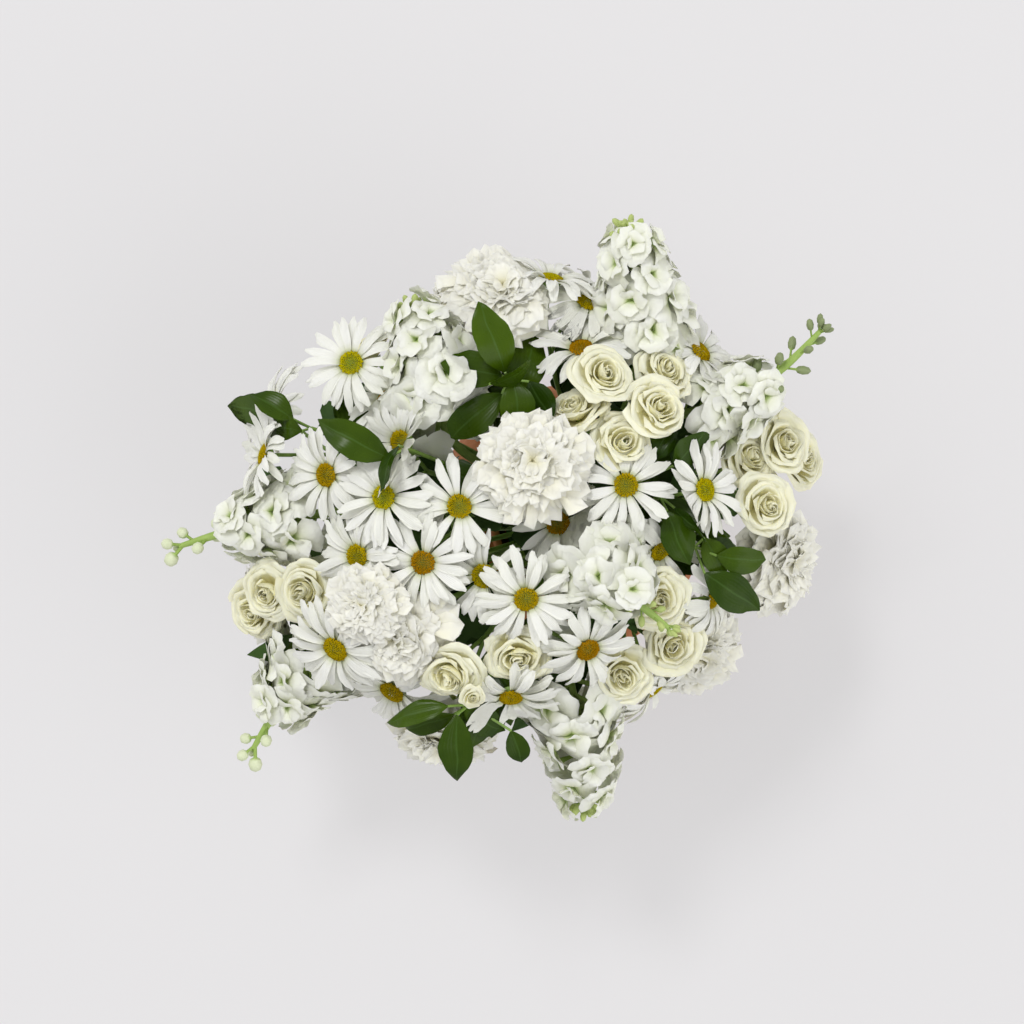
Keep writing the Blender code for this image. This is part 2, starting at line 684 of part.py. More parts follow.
def spread(stems, forms):
    """Bend stems clear of each other, of other stems' heads and of the bowl's lip, a little at a time."""
    steps = 4
    widest = 2 * STOCK_STEM + STEM_ROOM
    for _ in range(80):
        samples = []
        for stem in stems:
            for k in range(len(stem.points) - 1):
                for n in range(steps):
                    share = n / steps
                    place = stem.points[k] * (1 - share) + stem.points[k + 1] * share
                    samples.append((stem, k, share, place))
        tree = KDTree(len(samples))
        for number, sample in enumerate(samples):
            tree.insert(sample[3], number)
        tree.balance()
        hearts = KDTree(len(forms))
        for number, form in enumerate(forms):
            hearts.insert(form.heart, number)
        hearts.balance()
        moves = {id(stem): np.zeros_like(stem.points) for stem in stems}

        def push(sample, amount):
            """Share a push between the two ends of the stretch that a sample lies on."""
            stem, k, share, _ = sample
            moves[id(stem)][k] += amount * (1 - share)
            moves[id(stem)][k + 1] += amount * share

        for sample in samples:
            stem, _, _, place = sample
            for _, number, distance in tree.find_range(place, widest):
                other = samples[number]
                need = stem.radius + other[0].radius + STEM_ROOM - distance
                if other[0].node != stem.node and need > 0 and distance > 1e-6:
                    push(sample, (place - other[3]) / distance * need * EASE)
            for _, number, distance in hearts.find_range(place, WIDEST_CORE):
                form = forms[number]
                need = form.core + stem.radius + STEM_ROOM - distance
                if form.node != stem.node and need > 0:
                    push(sample, (place - form.heart) / distance * need * EASE)
            distance, away = bowl_distance(place)
            need = stem.radius + STEM_ROOM - distance
            if need > 0:
                push(sample, away * need * EASE)
        for stem in stems:
            free = ~stem.held
            stem.points[free] += moves[id(stem)][free]


def best_wall(form, points, margin):
    """The flat wall that parts a form from some points with the least squash, or None if they lie clear.

    The wall is its normal, away from the form's heart, and the room from the heart to the wall.
    """
    centre = unit(points.mean(axis=0) - form.heart)
    face = form.facing if form.facing.dot(centre) >= 0 else -form.facing
    normals = [centre, face, unit(face + centre), unit(face + 3 * centre)]
    local = form.local()
    best = None
    for normal in normals:
        room = ((points - form.heart) @ normal).min() - margin
        reach = (local @ normal).max()
        if room >= reach:
            return None
        if room > 0 and (best is None or room / reach > best[1] / best[2]):
            best = (normal, room, reach)
    return best and best[:2]


def part_forms(first, second):
    """Put a wall between two heads that would cross, in proportion to how far each reaches towards it."""
    offset = second.heart - first.heart
    near = unit(offset)
    normals = [near]
    for face in (first.facing, second.facing):
        face = face if face.dot(near) >= 0 else -face
        normals += [face, unit(face + near), unit(face + 3 * near)]
    best = None
    for normal in normals:
        room = offset.dot(normal) - WALL_GAP
        reach_first = max(first.core, (first.local() @ normal).max())
        reach_second = max(second.core, (second.local() @ -normal).max())
        if room >= reach_first + reach_second:
            return
        share = room / (reach_first + reach_second)
        if best is None or share > best[0]:
            best = (share, normal, reach_first * share, reach_second * share)
    _, normal, room_first, room_second = best
    first.walls.append((normal, room_first))
    second.walls.append((-normal, room_second))


def wall_in(forms, stems):
    """Give each form the flat walls that keep it clear of other nodes' forms and stems and of the bowl."""
    sizes = [np.linalg.norm(form.local(), axis=1).max() for form in forms]
    for a, first in enumerate(forms):
        for b in range(a):
            second = forms[b]
            if first.node != second.node and np.linalg.norm(first.heart - second.heart) < sizes[a] + sizes[b]:
                part_forms(first, second)
        for stem in stems:
            if stem.node == first.node:
                continue
            reach = sizes[a] + stem.radius + STEM_ROOM
            for start, end in zip(stem.points, stem.points[1:]):
                run = end - start
                share = np.clip((first.heart - start).dot(run) / run.dot(run), 0.0, 1.0)
                if np.linalg.norm(start + share * run - first.heart) < reach:
                    wall = best_wall(first, np.array((start, end)), stem.radius + WALL_GAP)
                    if wall:
                        first.walls.append(wall)
        distance, away = bowl_distance(first.heart)
        if distance < sizes[a] + WALL_GAP:
            first.walls.append((-away, distance - WALL_GAP))


def press(share):
    """A share of the room to a wall, eased so that it never passes the wall."""
    left = 1 - SOFT_SHARE
    eased = SOFT_SHARE + left * (1 - np.exp(-(share - SOFT_SHARE) / left))
    return np.where(share > SOFT_SHARE, eased, share)


def draw_in(form):
    """Draw a head in towards its heart where it would pass one of its walls."""
    if form.walls:
        local = form.local()
        share = np.max([local @ normal / room for normal, room in form.walls], axis=0)
        share = np.maximum(share, SOFT_SHARE)
        form.shell.points = form.heart + local * (press(share) / share)[:, None]


def bend_back(form):
    """Bend a leaf straight back from each of its walls. Its blade keeps its thickness."""
    blade = form.local()
    upper, lower = slice(1, -1, 4), slice(3, -1, 4)
    half = (blade[upper] - blade[lower]) / 2
    for normal, room in form.walls:
        room = max(room - LEAF_RIB, LEAF_RIB)
        share = blade @ normal / room
        blade += np.outer((press(share) - share) * room, normal)
    middle = (blade[upper] + blade[lower]) / 2
    blade[upper], blade[lower] = middle + half, middle - half
    form.shell.points[form.rooted:] = form.heart + blade


def material(name):
    """The named finish as a Principled material, made once."""
    if name in bpy.data.materials:
        return bpy.data.materials[name]
    colour, roughness = FINISHES[name]
    new = bpy.data.materials.new(name)
    new.use_nodes = True
    shader = new.node_tree.nodes["Principled BSDF"]
    shader.inputs["Base Color"].default_value = (*colour, 1.0)
    shader.inputs["Roughness"].default_value = roughness
    shader.inputs["Metallic"].default_value = 0.0
    return new


def make_object(name, shell, collection):
    """A mesh object of one closed body, with a material slot for every finish."""
    mesh = bpy.data.meshes.new(name)
    mesh.from_pydata([tuple(point) for point in shell.points], [], shell.faces)
    order = list(FINISHES)
    for finish in order:
        mesh.materials.append(material(finish))
    mesh.polygons.foreach_set("material_index", [order.index(finish) for finish in shell.finishes])
    mesh.update()
    made = bpy.data.objects.new(name, mesh)
    collection.objects.link(made)
    return made


def keep_main_body(mesh):
    """Clear a mesh of needless edges, keep its largest body and drop sealed hollows and loose scraps."""
    shape = bmesh.new()
    shape.from_mesh(mesh)
    bmesh.ops.dissolve_limit(
        shape, angle_limit=FLAT_ANGLE, use_dissolve_boundaries=False, verts=shape.verts, edges=shape.edges,
        delimit={"MATERIAL"},
    )
    bmesh.ops.triangulate(shape, faces=shape.faces)
    shape.faces.ensure_lookup_table()
    unseen = set(shape.faces)
    bodies = []
    while unseen:
        body = [unseen.pop()]
        for face in body:
            for edge in face.edges:
                for near in edge.link_faces:
                    if near in unseen:
                        unseen.remove(near)
                        body.append(near)
        volume = sum(f.verts[0].co.dot(f.verts[1].co.cross(f.verts[2].co)) for f in body) / 6.0
        bodies.append((volume, len(bodies), body))
    bodies.sort(key=lambda entry: entry[:2])
    for _, _, body in bodies[:-1]:
        bmesh.ops.delete(shape, geom=body, context="FACES")
    shape.to_mesh(mesh)
    shape.free()


def combine(name, shells, operation):
    """One object from overlapping bodies: the first, with all the others joined to it or cut from it."""
    scene_objects = bpy.context.scene.collection
    base = make_object(name, shells[0], scene_objects)
    if len(shells) > 1:
        tools = bpy.data.collections.new(name + "_tools")
        scene_objects.children.link(tools)
        for k, shell in enumerate(shells[1:]):
            make_object(f"{name}_tool_{k}", shell, tools)
        boolean = base.modifiers.new("combine", "BOOLEAN")
        boolean.operand_type = "COLLECTION"
        boolean.collection = tools
        boolean.operation = operation
        boolean.solver = "EXACT"
        boolean.material_mode = "TRANSFER"
        bpy.context.view_layer.update()
        result = bpy.data.meshes.new_from_object(base.evaluated_get(bpy.context.evaluated_depsgraph_get()))
        base.modifiers.clear()
        base.data = result
        result.name = name
        for tool in list(tools.objects):
            bpy.data.objects.remove(tool)
        bpy.data.collections.remove(tools)
    keep_main_body(base.data)
    return base


def plan_bouquet():
    """Every stem and every head, floret and leaf of the bouquet, bent and drawn clear of each other."""
    kinds = [(f"daisy_spray_{k + 1}", blooms) for k, blooms in enumerate(DAISY_SPRAYS)]
    kinds += [(f"rose_spray_{k + 1}", blooms) for k, blooms in enumerate(ROSE_SPRAYS)]
    kinds += [(f"carnation_{k + 1}", [bloom]) for k, bloom in enumerate(CARNATIONS)]
    targets = [sum(on_dome(b.x, b.y) for b in blooms) / len(blooms) for _, blooms in kinds]
    targets += [spike_curve(spike.path, 3)[0] for spike in STOCKS]
    targets += [sum(on_dome(leaf.x, leaf.y) for leaf in leaves) / len(leaves) for leaves in RUSCUS]
    entries = foam_entries(targets)
    daisy, rose, carnation, floret = daisy_head(), rose_head(), carnation_head(), stock_floret()
    stems = []
    forms = []
    for (node, blooms), entry in zip(kinds, entries):
        if node.startswith("daisy"):
            made = spray(node, blooms, entry, daisy, DAISY_STEM, core=0.010, back=0.050, spin_step=0.35)
        elif node.startswith("rose"):
            made = spray(node, blooms, entry, rose, ROSE_STEM, core=0.012, back=0.055, spin_step=0.9)
        else:
            made = spray(node, blooms, entry, carnation, CARNATION_STEM, core=0.014)
        stems += made[0]
        forms += made[1]
    rest = entries[len(kinds):]
    for k, (spike, entry) in enumerate(zip(STOCKS, rest)):
        made = stock(f"stock_{k + 1}", spike, entry, floret)
        stems += made[0]
        forms += made[1]
    for k, (leaves, entry) in enumerate(zip(RUSCUS, rest[len(STOCKS):])):
        made = leaf_stem(f"ruscus_{k + 1}", leaves, entry)
        stems += made[0]
        forms += made[1]
    spread(stems, forms)
    wall_in(forms, stems)
    for form in forms:
        if form.rooted:
            bend_back(form)
        else:
            draw_in(form)
    return stems, forms


def main():
    for old in list(bpy.data.objects):
        bpy.data.objects.remove(old)
    stems, forms = plan_bouquet()
    nodes = list(dict.fromkeys(stem.node for stem in stems))
    holes = []
    for node in nodes:
        own = [stem for stem in stems if stem.node == node]
        shells = [tube(stem.points, stem.radius, stem.sides) for stem in own]
        shells += [form.shell for form in forms if form.node == node]
        combine(node, shells, "UNION")
        foot, out = own[0].points[:2]
        direction = unit(out - foot)
        hole = np.array((foot - direction * 2 * GAP, out + direction * STRAIGHT_RUN))
        holes.append(tube(hole, own[0].radius + HOLE_CLEARANCE, STEM_SIDES, "green_foam"))
    combine("floral_foam", [foam_shell()] + holes, "DIFFERENCE")
    bowl = combine("bowl", [bowl_shell()], "UNION")
    bowl.data.shade_smooth()
    bowl.data.set_sharp_from_angle(angle=math.radians(40))


main()
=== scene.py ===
"""Looks of the floral centerpiece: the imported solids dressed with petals, discs, leaves, stems and clay.

Metres, +Z up. The tables give the flowers' places in millimetres from the bouquet's middle, as the solids have
them: x to the right and y to the back, as seen from above.
"""

import json
import math

import bmesh
import bpy
import numpy as np
from mathutils import Matrix, Vector
from mathutils.kdtree import KDTree

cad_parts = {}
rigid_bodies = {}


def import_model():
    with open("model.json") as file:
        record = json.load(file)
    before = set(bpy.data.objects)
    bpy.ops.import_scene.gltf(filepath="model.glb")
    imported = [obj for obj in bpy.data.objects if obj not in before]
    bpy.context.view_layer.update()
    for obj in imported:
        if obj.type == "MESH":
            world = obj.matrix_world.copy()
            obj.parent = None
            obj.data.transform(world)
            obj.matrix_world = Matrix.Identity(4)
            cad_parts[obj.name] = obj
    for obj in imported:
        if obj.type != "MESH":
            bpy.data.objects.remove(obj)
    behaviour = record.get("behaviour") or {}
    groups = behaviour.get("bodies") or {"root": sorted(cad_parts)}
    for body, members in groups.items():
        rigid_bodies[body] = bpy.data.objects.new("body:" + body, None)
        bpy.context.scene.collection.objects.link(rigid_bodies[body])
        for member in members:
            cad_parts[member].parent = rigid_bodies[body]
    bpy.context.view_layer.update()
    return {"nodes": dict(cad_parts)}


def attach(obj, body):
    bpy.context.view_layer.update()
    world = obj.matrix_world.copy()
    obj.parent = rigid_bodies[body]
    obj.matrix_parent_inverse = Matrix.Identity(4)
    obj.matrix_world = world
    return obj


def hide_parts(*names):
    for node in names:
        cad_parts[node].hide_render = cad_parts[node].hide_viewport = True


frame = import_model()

# The studio. The photograph looks straight down through a long lens at a pale grey floor. The light is large
# and soft and comes from the upper left, so the bouquet's shadow falls softly to the lower right. The floor
# glows a little, as a lit backdrop does, which keeps the shadow faint.
PHOTO_CENTRE = (-0.0403, 0.0053)
PHOTO_WIDTH = 0.6827  # what the picture's width shows at the blooms' height
BLOOM_HEIGHT = 0.25
CAMERA_HEIGHT = 3.0
SENSOR = 36.0
FLOOR_HALF = 6.0
FLOOR_GREY = (0.31, 0.306, 0.31)
FLOOR_GLOW = (1.0, 0.985, 0.995, 1.0)
FLOOR_GLOW_STRENGTH = 0.462
SKY_STRENGTH = 0.55
LIGHTS = (  # place, size and power of each soft light
    ((-2.0, 3.4, 6.2), 1.6, 178.0),
    ((-6.0, 2.0, 5.6), 6.0, 120.0),
    ((5.8, -2.8, 4.8), 8.0, 275.0),
)
LIGHTS_AIM = (0.0, 0.0, 0.1)
FLOOR_MOTTLE = tuple(0.985 * c for c in FLOOR_GREY)

scene = bpy.context.scene
scene.view_settings.view_transform = "Standard"
camera = bpy.data.objects.new("camera", bpy.data.cameras.new("camera"))
camera.data.sensor_width = SENSOR
camera.data.lens = SENSOR * (CAMERA_HEIGHT - BLOOM_HEIGHT) / PHOTO_WIDTH
camera.location = (*PHOTO_CENTRE, CAMERA_HEIGHT)
scene.collection.objects.link(camera)
scene.camera = camera

for place, size, power in LIGHTS:
    softbox = bpy.data.objects.new("softbox", bpy.data.lights.new("softbox", "AREA"))
    softbox.data.size = size
    softbox.data.energy = power
    softbox.location = place
    softbox.rotation_euler = (Vector(LIGHTS_AIM) - Vector(place)).to_track_quat("-Z", "Y").to_euler()
    scene.collection.objects.link(softbox)

scene.world = bpy.data.worlds.new("soft_sky")
scene.world.use_nodes = True
sky = scene.world.node_tree.nodes["Background"]
sky.inputs["Color"].default_value = (1.0, 1.0, 1.0, 1.0)
sky.inputs["Strength"].default_value = SKY_STRENGTH


class Wire:
    """One output of a node. Arithmetic with it adds Math nodes, or Vector Math ones."""

    def __init__(self, maker, socket):
        self.maker, self.socket = maker, socket

    def maths(self, operation, other, swapped=False):
        """A node for the operation on this output and the other value, in this order or swapped."""
        parts = (other, self) if swapped else (self, other)
        wide = any(isinstance(p, tuple) or isinstance(p, Wire) and p.socket.type in ("VECTOR", "RGBA")
                   for p in parts)
        if wide:
            parts = [(p, p, p) if isinstance(p, (int, float)) else p for p in parts]
        kind = "ShaderNodeVectorMath" if wide else "ShaderNodeMath"
        return self.maker.add(kind, {"operation": operation}, dict(enumerate(parts)))

    def __add__(self, other):
        return self.maths("ADD", other)

    def __radd__(self, other):
        return self.maths("ADD", other, True)

    def __sub__(self, other):
        return self.maths("SUBTRACT", other)

    def __rsub__(self, other):
        return self.maths("SUBTRACT", other, True)

    def __mul__(self, other):
        return self.maths("MULTIPLY", other)

    def __rmul__(self, other):
        return self.maths("MULTIPLY", other, True)

    def __truediv__(self, other):
        return self.maths("DIVIDE", other)

    def __pow__(self, other):
        return self.maths("POWER", other)


class Maker:
    """Adds nodes to one node tree."""

    def __init__(self, tree):
        self.tree = tree

    def add(self, kind, settings=None, sockets=None, out=0):
        """A new node: its settings first, then its sockets' values or links. Gives one of its outputs."""
        node = self.tree.nodes.new(kind)
        for name, value in (settings or {}).items():
            setattr(node, name, value)
        for name, value in (sockets or {}).items():
            if isinstance(value, Wire):
                self.tree.links.new(value.socket, node.inputs[name])
            else:
                node.inputs[name].default_value = value
        return Wire(self, node.outputs[out])

    def mix(self, factor, first, second):
        """One colour blended into another."""
        first, second = ((*c, 1.0) if isinstance(c, tuple) and len(c) == 3 else c for c in (first, second))
        return self.add("ShaderNodeMix", {"data_type": "RGBA"}, {0: factor, 6: first, 7: second}, out=2)

    def attribute(self, name):
        """A number that the mesh carries on its points."""
        return self.add("ShaderNodeAttribute", {"attribute_name": name}, out=2)

    def noise(self, vector, scale, detail=3.0):
        """Soft cloudy numbers from 0 to 1."""
        return self.add("ShaderNodeTexNoise", None, {"Vector": vector, "Scale": scale, "Detail": detail})

    def place(self):
        """The point's place on the object."""
        return self.add("ShaderNodeTexCoord", out=3)

    def rise(self, value, low, high):
        """From 0 at the low value to 1 at the high one, and level beyond them."""
        return self.add("ShaderNodeMapRange", None, {"Value": value, "From Min": low, "From Max": high})

    def ribs(self, number):
        """Waves across a petal or leaf, like its lengthwise veins."""
        return self.add("ShaderNodeMath", {"operation": "SINE"}, {0: self.attribute("across") * number})


def finish(name, colour, roughness, bump=None, bump_depth=0.0002, **constants):
    """A Principled material. Colour, roughness and bump are functions of the maker that give what they feed.

    Roughness may also be a number, and bump the scale of an even grain.
    """
    made = bpy.data.materials.new(name)
    made.use_nodes = True
    maker = Maker(made.node_tree)
    fed = {"Base Color": colour(maker)}
    if callable(roughness):
        fed["Roughness"] = roughness(maker)
    else:
        constants["Roughness"] = roughness
    if bump:
        height = bump(maker) if callable(bump) else maker.noise(maker.place(), bump)
        fed["Normal"] = maker.add("ShaderNodeBump", None, {"Height": height, "Distance": bump_depth})
    shader = made.node_tree.nodes["Principled BSDF"]
    for socket, value in constants.items():
        shader.inputs[socket.replace("_", " ")].default_value = value
    for socket, wire in fed.items():
        made.node_tree.links.new(wire.socket, shader.inputs[socket])
    return made


def plain_object(name, points, faces):
    """A smooth mesh object at the origin."""
    mesh = bpy.data.meshes.new(name)
    mesh.from_pydata([tuple(point) for point in points], [], faces)
    mesh.shade_smooth()
    made = bpy.data.objects.new(name, mesh)
    scene.collection.objects.link(made)
    return made


corners = [(x * FLOOR_HALF, y * FLOOR_HALF, 0.0) for x, y in ((-1, -1), (1, -1), (1, 1), (-1, 1))]
floor = plain_object("floor", corners, [(0, 1, 2, 3)])
floor.data.materials.append(finish(
    "pale_paper", lambda m: m.mix(m.noise(m.place(), 3.0), FLOOR_GREY, FLOOR_MOTTLE), 0.9,
    Emission_Color=FLOOR_GLOW, Emission_Strength=FLOOR_GLOW_STRENGTH, Specular_IOR_Level=0.0,
))

# The bowl. Round-bellied and thrown in terracotta, with a drawn-in mouth and a flat foot. The clay is unglazed:
# it shows faint throwing rings, pale mineral bloom and a lighter worn lip.
BOWL_HEIGHT = 0.120
BOWL_FOOT_RADIUS = 0.058
BOWL_BELLY_RADIUS = 0.096
BOWL_BELLY_HEIGHT = 0.058
BOWL_MOUTH_RADIUS = 0.050
BOWL_WALL = 0.006
BOWL_FLOOR = 0.008
BOWL_EDGE = 0.004
LIP_ROUNDING = 0.0015
LIP_STEPS = 10
LIP_WEAR = (0.112, 0.121)  # the heights that the worn clay fades in between
BOWL_SEGMENTS = 112
SIDE_STEPS = 18
CLAY = (0.45, 0.145, 0.040)
CLAY_PALE = (0.57, 0.25, 0.105)
CLAY_DARK = (0.33, 0.094, 0.022)


def arc(middle, radii, start, end, count):
    """Points (radius, height) along a quarter oval about the middle, between two angles in degrees."""
    angles = [math.radians(start + (end - start) * k / count) for k in range(1, count + 1)]
    return [(middle[0] + radii[0] * math.cos(a), middle[1] + radii[1] * math.sin(a)) for a in angles]


def bowl_side(inset, foot_height, top_height, steps):
    """The bowl's profile from foot to shoulder as (radius, height) points, moved in by the inset."""
    foot = BOWL_FOOT_RADIUS + BOWL_EDGE
    lip = BOWL_MOUTH_RADIUS + BOWL_WALL
    low = (BOWL_BELLY_RADIUS - foot, BOWL_BELLY_HEIGHT - foot_height)
    high = (BOWL_BELLY_RADIUS - lip, top_height - BOWL_BELLY_HEIGHT)
    points = arc((foot - inset, BOWL_BELLY_HEIGHT), low, -90, 0, steps)
    return points + arc((lip - inset, BOWL_BELLY_HEIGHT), high, 0, 90, steps)


def bowl_outline(steps):
    """The bowl's outer side as (radius, height) points, from the foot's edge up to the top of the lip."""
    points = [(BOWL_FOOT_RADIUS, 0.0), (BOWL_FOOT_RADIUS + BOWL_EDGE, BOWL_EDGE)]
    points += bowl_side(0.0, BOWL_EDGE, BOWL_HEIGHT - BOWL_EDGE, steps)
    return points + [(BOWL_MOUTH_RADIUS + BOWL_WALL - LIP_ROUNDING, BOWL_HEIGHT)]


def lathe(name, profile, segments):
    """A closed turned body from a profile that starts and ends in a flat end."""
    angles = [math.tau * k / segments for k in range(segments)]
    points = [(r * math.cos(a), r * math.sin(a), z) for r, z in profile for a in angles]
    faces = []
    for row in range(len(profile) - 1):
        for k in range(segments):
            a, b = row * segments + k, row * segments + (k + 1) % segments
            faces.append((a, b, b + segments, a + segments))
    faces.append(tuple(range(segments))[::-1])
    faces.append(tuple(range(len(points) - segments, len(points))))
    return plain_object(name, points, faces)


lip_middle = (BOWL_MOUTH_RADIUS + BOWL_WALL / 2, BOWL_HEIGHT - BOWL_EDGE)
lip = arc(lip_middle, (BOWL_WALL / 2, BOWL_EDGE), 0, 180, LIP_STEPS)
inside = bowl_side(BOWL_WALL, BOWL_FLOOR, BOWL_HEIGHT - BOWL_EDGE - BOWL_WALL, SIDE_STEPS)[::-1]
bowl = lathe(
    "terracotta_bowl",
    bowl_outline(SIDE_STEPS)[:-1] + lip + inside + [(BOWL_FOOT_RADIUS - BOWL_EDGE, BOWL_FLOOR)],
    BOWL_SEGMENTS,
)
bowl.data.set_sharp_from_angle(angle=math.radians(50))


def clay_rings(m):
    """Throwing rings: waves that follow the height, broken up by noise."""
    stretched = m.add("ShaderNodeMapping", None, {"Vector": m.place(), "Scale": (6.0, 6.0, 260.0)})
    return m.noise(stretched, 1.0, 2.0)


def clay_colour(m):
    """Clay in clouds, paler where it is dusty, where minerals bloom and where the lip is worn."""
    body = m.mix(m.noise(m.place(), 22.0, 5.0), CLAY_DARK, CLAY)
    height = m.add("ShaderNodeSeparateXYZ", None, {0: m.place()}, out=2)
    worn = m.rise(height, *LIP_WEAR)
    bloom = m.rise(m.noise(m.place(), 34.0, 6.0), 0.52, 0.74)
    dust = m.noise(m.place(), 900.0, 2.0)
    return m.mix(dust * 0.25 + worn * 0.45 + bloom * 0.5, body, CLAY_PALE)


bowl.data.materials.append(finish(
    "terracotta", clay_colour, lambda m: 0.70 + 0.2 * m.noise(m.place(), 60.0),
    bump=lambda m: clay_rings(m) + 0.25 * m.noise(m.place(), 700.0), bump_depth=0.0006,
))


def dress(piece, node):
    """Every piece rides on the bouquet's one body, in place of its node's solid."""
    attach(piece, "root")
    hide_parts(node)


dress(bowl, "bowl")

# The floral foam. A round block of wet, dark green foam with very fine cells, cut to fit the bowl. The stems
# are pushed into it. Its solid has the right shape and holes, so it only gets its finish here.
FOAM_GREEN = (0.035, 0.085, 0.032)
FOAM_LIGHT = (0.085, 0.16, 0.06)

foam = frame["nodes"]["floral_foam"]


def cells(m):
    return m.add("ShaderNodeTexVoronoi", None, {"Vector": m.place(), "Scale": 950.0})


foam_finish = finish(
    "wet_foam", lambda m: m.mix(cells(m) * m.noise(m.place(), 90.0) * 1.6, FOAM_GREEN, FOAM_LIGHT), 0.85,
    bump=cells, bump_depth=0.0008,
)
for slot in foam.material_slots:
    slot.material = foam_finish

# The daisy sprays. Each head has about two dozen white rays in two loose layers round a disc of tiny tube
# flowers, yellow-green in the middle and orange-yellow at the rim, on a green cup of bracts. A cut stem forks
# to two heads, and the last stem carries one.
MM = 0.001
BOUQUET_MIDDLE = (-0.045, 0.0)
DOME_RADIUS = 0.215
DOME_BASE = 0.120
DOME_RISE = 0.160
EDGE_NOD = 74.0
NOD_POWER = 1.3
STEEP = 0.9  # the upward part of a direction that is nearly upright
GOLDEN_ANGLE = 2.4
DAISY_REACH = 0.033
DAISY_CORE = 0.010
DAISY_STEM = 0.0017
DAISY_FORK = 0.050  # how far below its heads a spray forks
DAISY_SPIN = 0.35
DAISY_SPRAYS = [
    [(-103, 105, 0, 0, -28), (-79, 80, -28, 0, 10)],
    [(-80, 15, 2), (-69, 52, -12, 40, 10)],
    [(-119, 30, -6, 20), (-98, -24, -5, 0, 5)],
    [(-30, 9), (-54, -28, -2)],
    [(-14, -37, -8, -40, 10), (14, -52, 3)],
    [(35, -2, -29), (80, 23, 2, 0, -15)],
    [(133, 20, 3), (104, -20, -22, -30, 20)],
    [(51, 115, -14, 30, 12), (56, 146, -12, 0, 5)],
    [(132, 114, -10), (148, 92, -66, 0, 35)],
    [(31, 163, -6, 0, 20), (58, 158, -66, 0, 45)],
    [(55, -86, -4, 0, 10), (4, -118, -10, 0, 20)],
    [(-113, -86, 2, 10, 2, 1.12), (-76, -116, -34, 0, 12, 1.12)],
    [(141, -52, -24, 0, 17), (102, -116, -56, 0, 30)],
    [(-163, 44, -8, 0, 20), (-160, 78, -48, 0, 5)],
    [(-165, 5, -76, 0, 45)],
]
RIPENESS = {  # of the discs that show best, from 0, yellow-green, to 1, orange-brown
    (-103, 105): 0.0, (-80, 15): 0.05, (133, 20): 0.1, (80, 23): 0.45, (-30, 9): 0.45, (14, -52): 0.55,
    (-119, 30): 0.7, (-54, -28): 1.0, (51, 115): 1.0,
}


def unit(vector):
    """The vector made 1 long."""
    return vector / np.linalg.norm(vector)


def axes_along(direction, spin=0.0):
    """A matrix whose columns are two sideways axes, turned by the spin in radians, and the direction."""
    helper = np.array((0.0, 0.0, 1.0)) if abs(direction[2]) < STEEP else np.array((1.0, 0.0, 0.0))
    side = unit(np.cross(helper, direction))
    other = np.cross(direction, side)
    turned = math.cos(spin) * side + math.sin(spin) * other
    return np.column_stack((turned, np.cross(direction, turned), direction))


def on_dome(x, y, lift=0.0):
    """A point of the bouquet: x and y from its middle and the height over the dome there, all in mm."""
    share = min(1.0, math.hypot(x, y) * MM / DOME_RADIUS)
    height = DOME_BASE + DOME_RISE * math.sqrt(1.0 - share * share) + lift * MM
    return np.array((BOUQUET_MIDDLE[0] + x * MM, BOUQUET_MIDDLE[1] + y * MM, height))


def face_of(x, y, turn=0.0, nod=0.0):
    """The way a bloom faces: straight up in the middle and further out towards the dome's edge."""
    share = min(1.0, math.hypot(x, y) * MM / DOME_RADIUS)
    lean = math.radians(EDGE_NOD * share**NOD_POWER + nod)
    heading = math.atan2(y, x) + math.radians(turn)
    return np.array((math.sin(lean) * math.cos(heading), math.sin(lean) * math.sin(heading), math.cos(lean)))


class Head:
    """A flower, floret or leaf in its place. Its heart is where its stem ends."""

    def __init__(self, node, heart, facing, axes, core, size=1.0, hue=0.5):
        self.node, self.heart, self.facing, self.axes = node, heart, facing, axes
        self.core, self.size, self.sizes, self.hue = core, size, (size,) * 3, hue
        self.parts = []
        self.walls = []
        self.flat = False
        self.is_leaf = False
        self.crowded = False
        self.tube = 0.0

    def local(self):
        """All its points, from its heart."""
        return np.vstack([points[chosen] for points, chosen in self.parts]) - self.heart


heads = []
stem_plan = []
meshes_of_heads = []


def bloom_heads(node, blooms, core, spin_step, flat=False):
    """The heads of one spray, from its rows of the table."""
    made = []
    for k, bloom in enumerate(blooms):
        x, y, lift, turn, nod, size = (*bloom, *(0.0, 0.0, 0.0, 0.0, 0.0, 1.0)[len(bloom):])
        face = face_of(x, y, turn, nod)
        hue = RIPENESS.get((x, y), (math.sin(x * 12.9 + y * 78.2) * 43.7) % 1.0)
        axes = axes_along(face, spin_step * k)
        made.append(Head(node, on_dome(x, y, lift), face, axes, core * size, size, hue))
        made[-1].flat = flat
    heads.extend(made)
    return made


def plan_stem(own, radius, blooms, **more):
    """Note a cut stem for the section that makes the stems: what it carries and what it is aimed at."""
    aim = sum(on_dome(bloom[0], bloom[1]) for bloom in blooms) / len(blooms)
    stem_plan.append(dict(node=own[0].node, heads=own, radius=radius, aim=aim) | more)


def carry(mesh, name, kind, values, domain="POINT"):
    """Give the mesh a named value on each of its points or edges."""
    numbers = np.array(values, {"INT": np.int32, "BOOLEAN": bool}.get(kind, np.float32)).ravel()
    layer = mesh.attributes.new(name, kind, domain)
    layer.data.foreach_set("vector" if kind == "FLOAT_VECTOR" else "value", numbers)


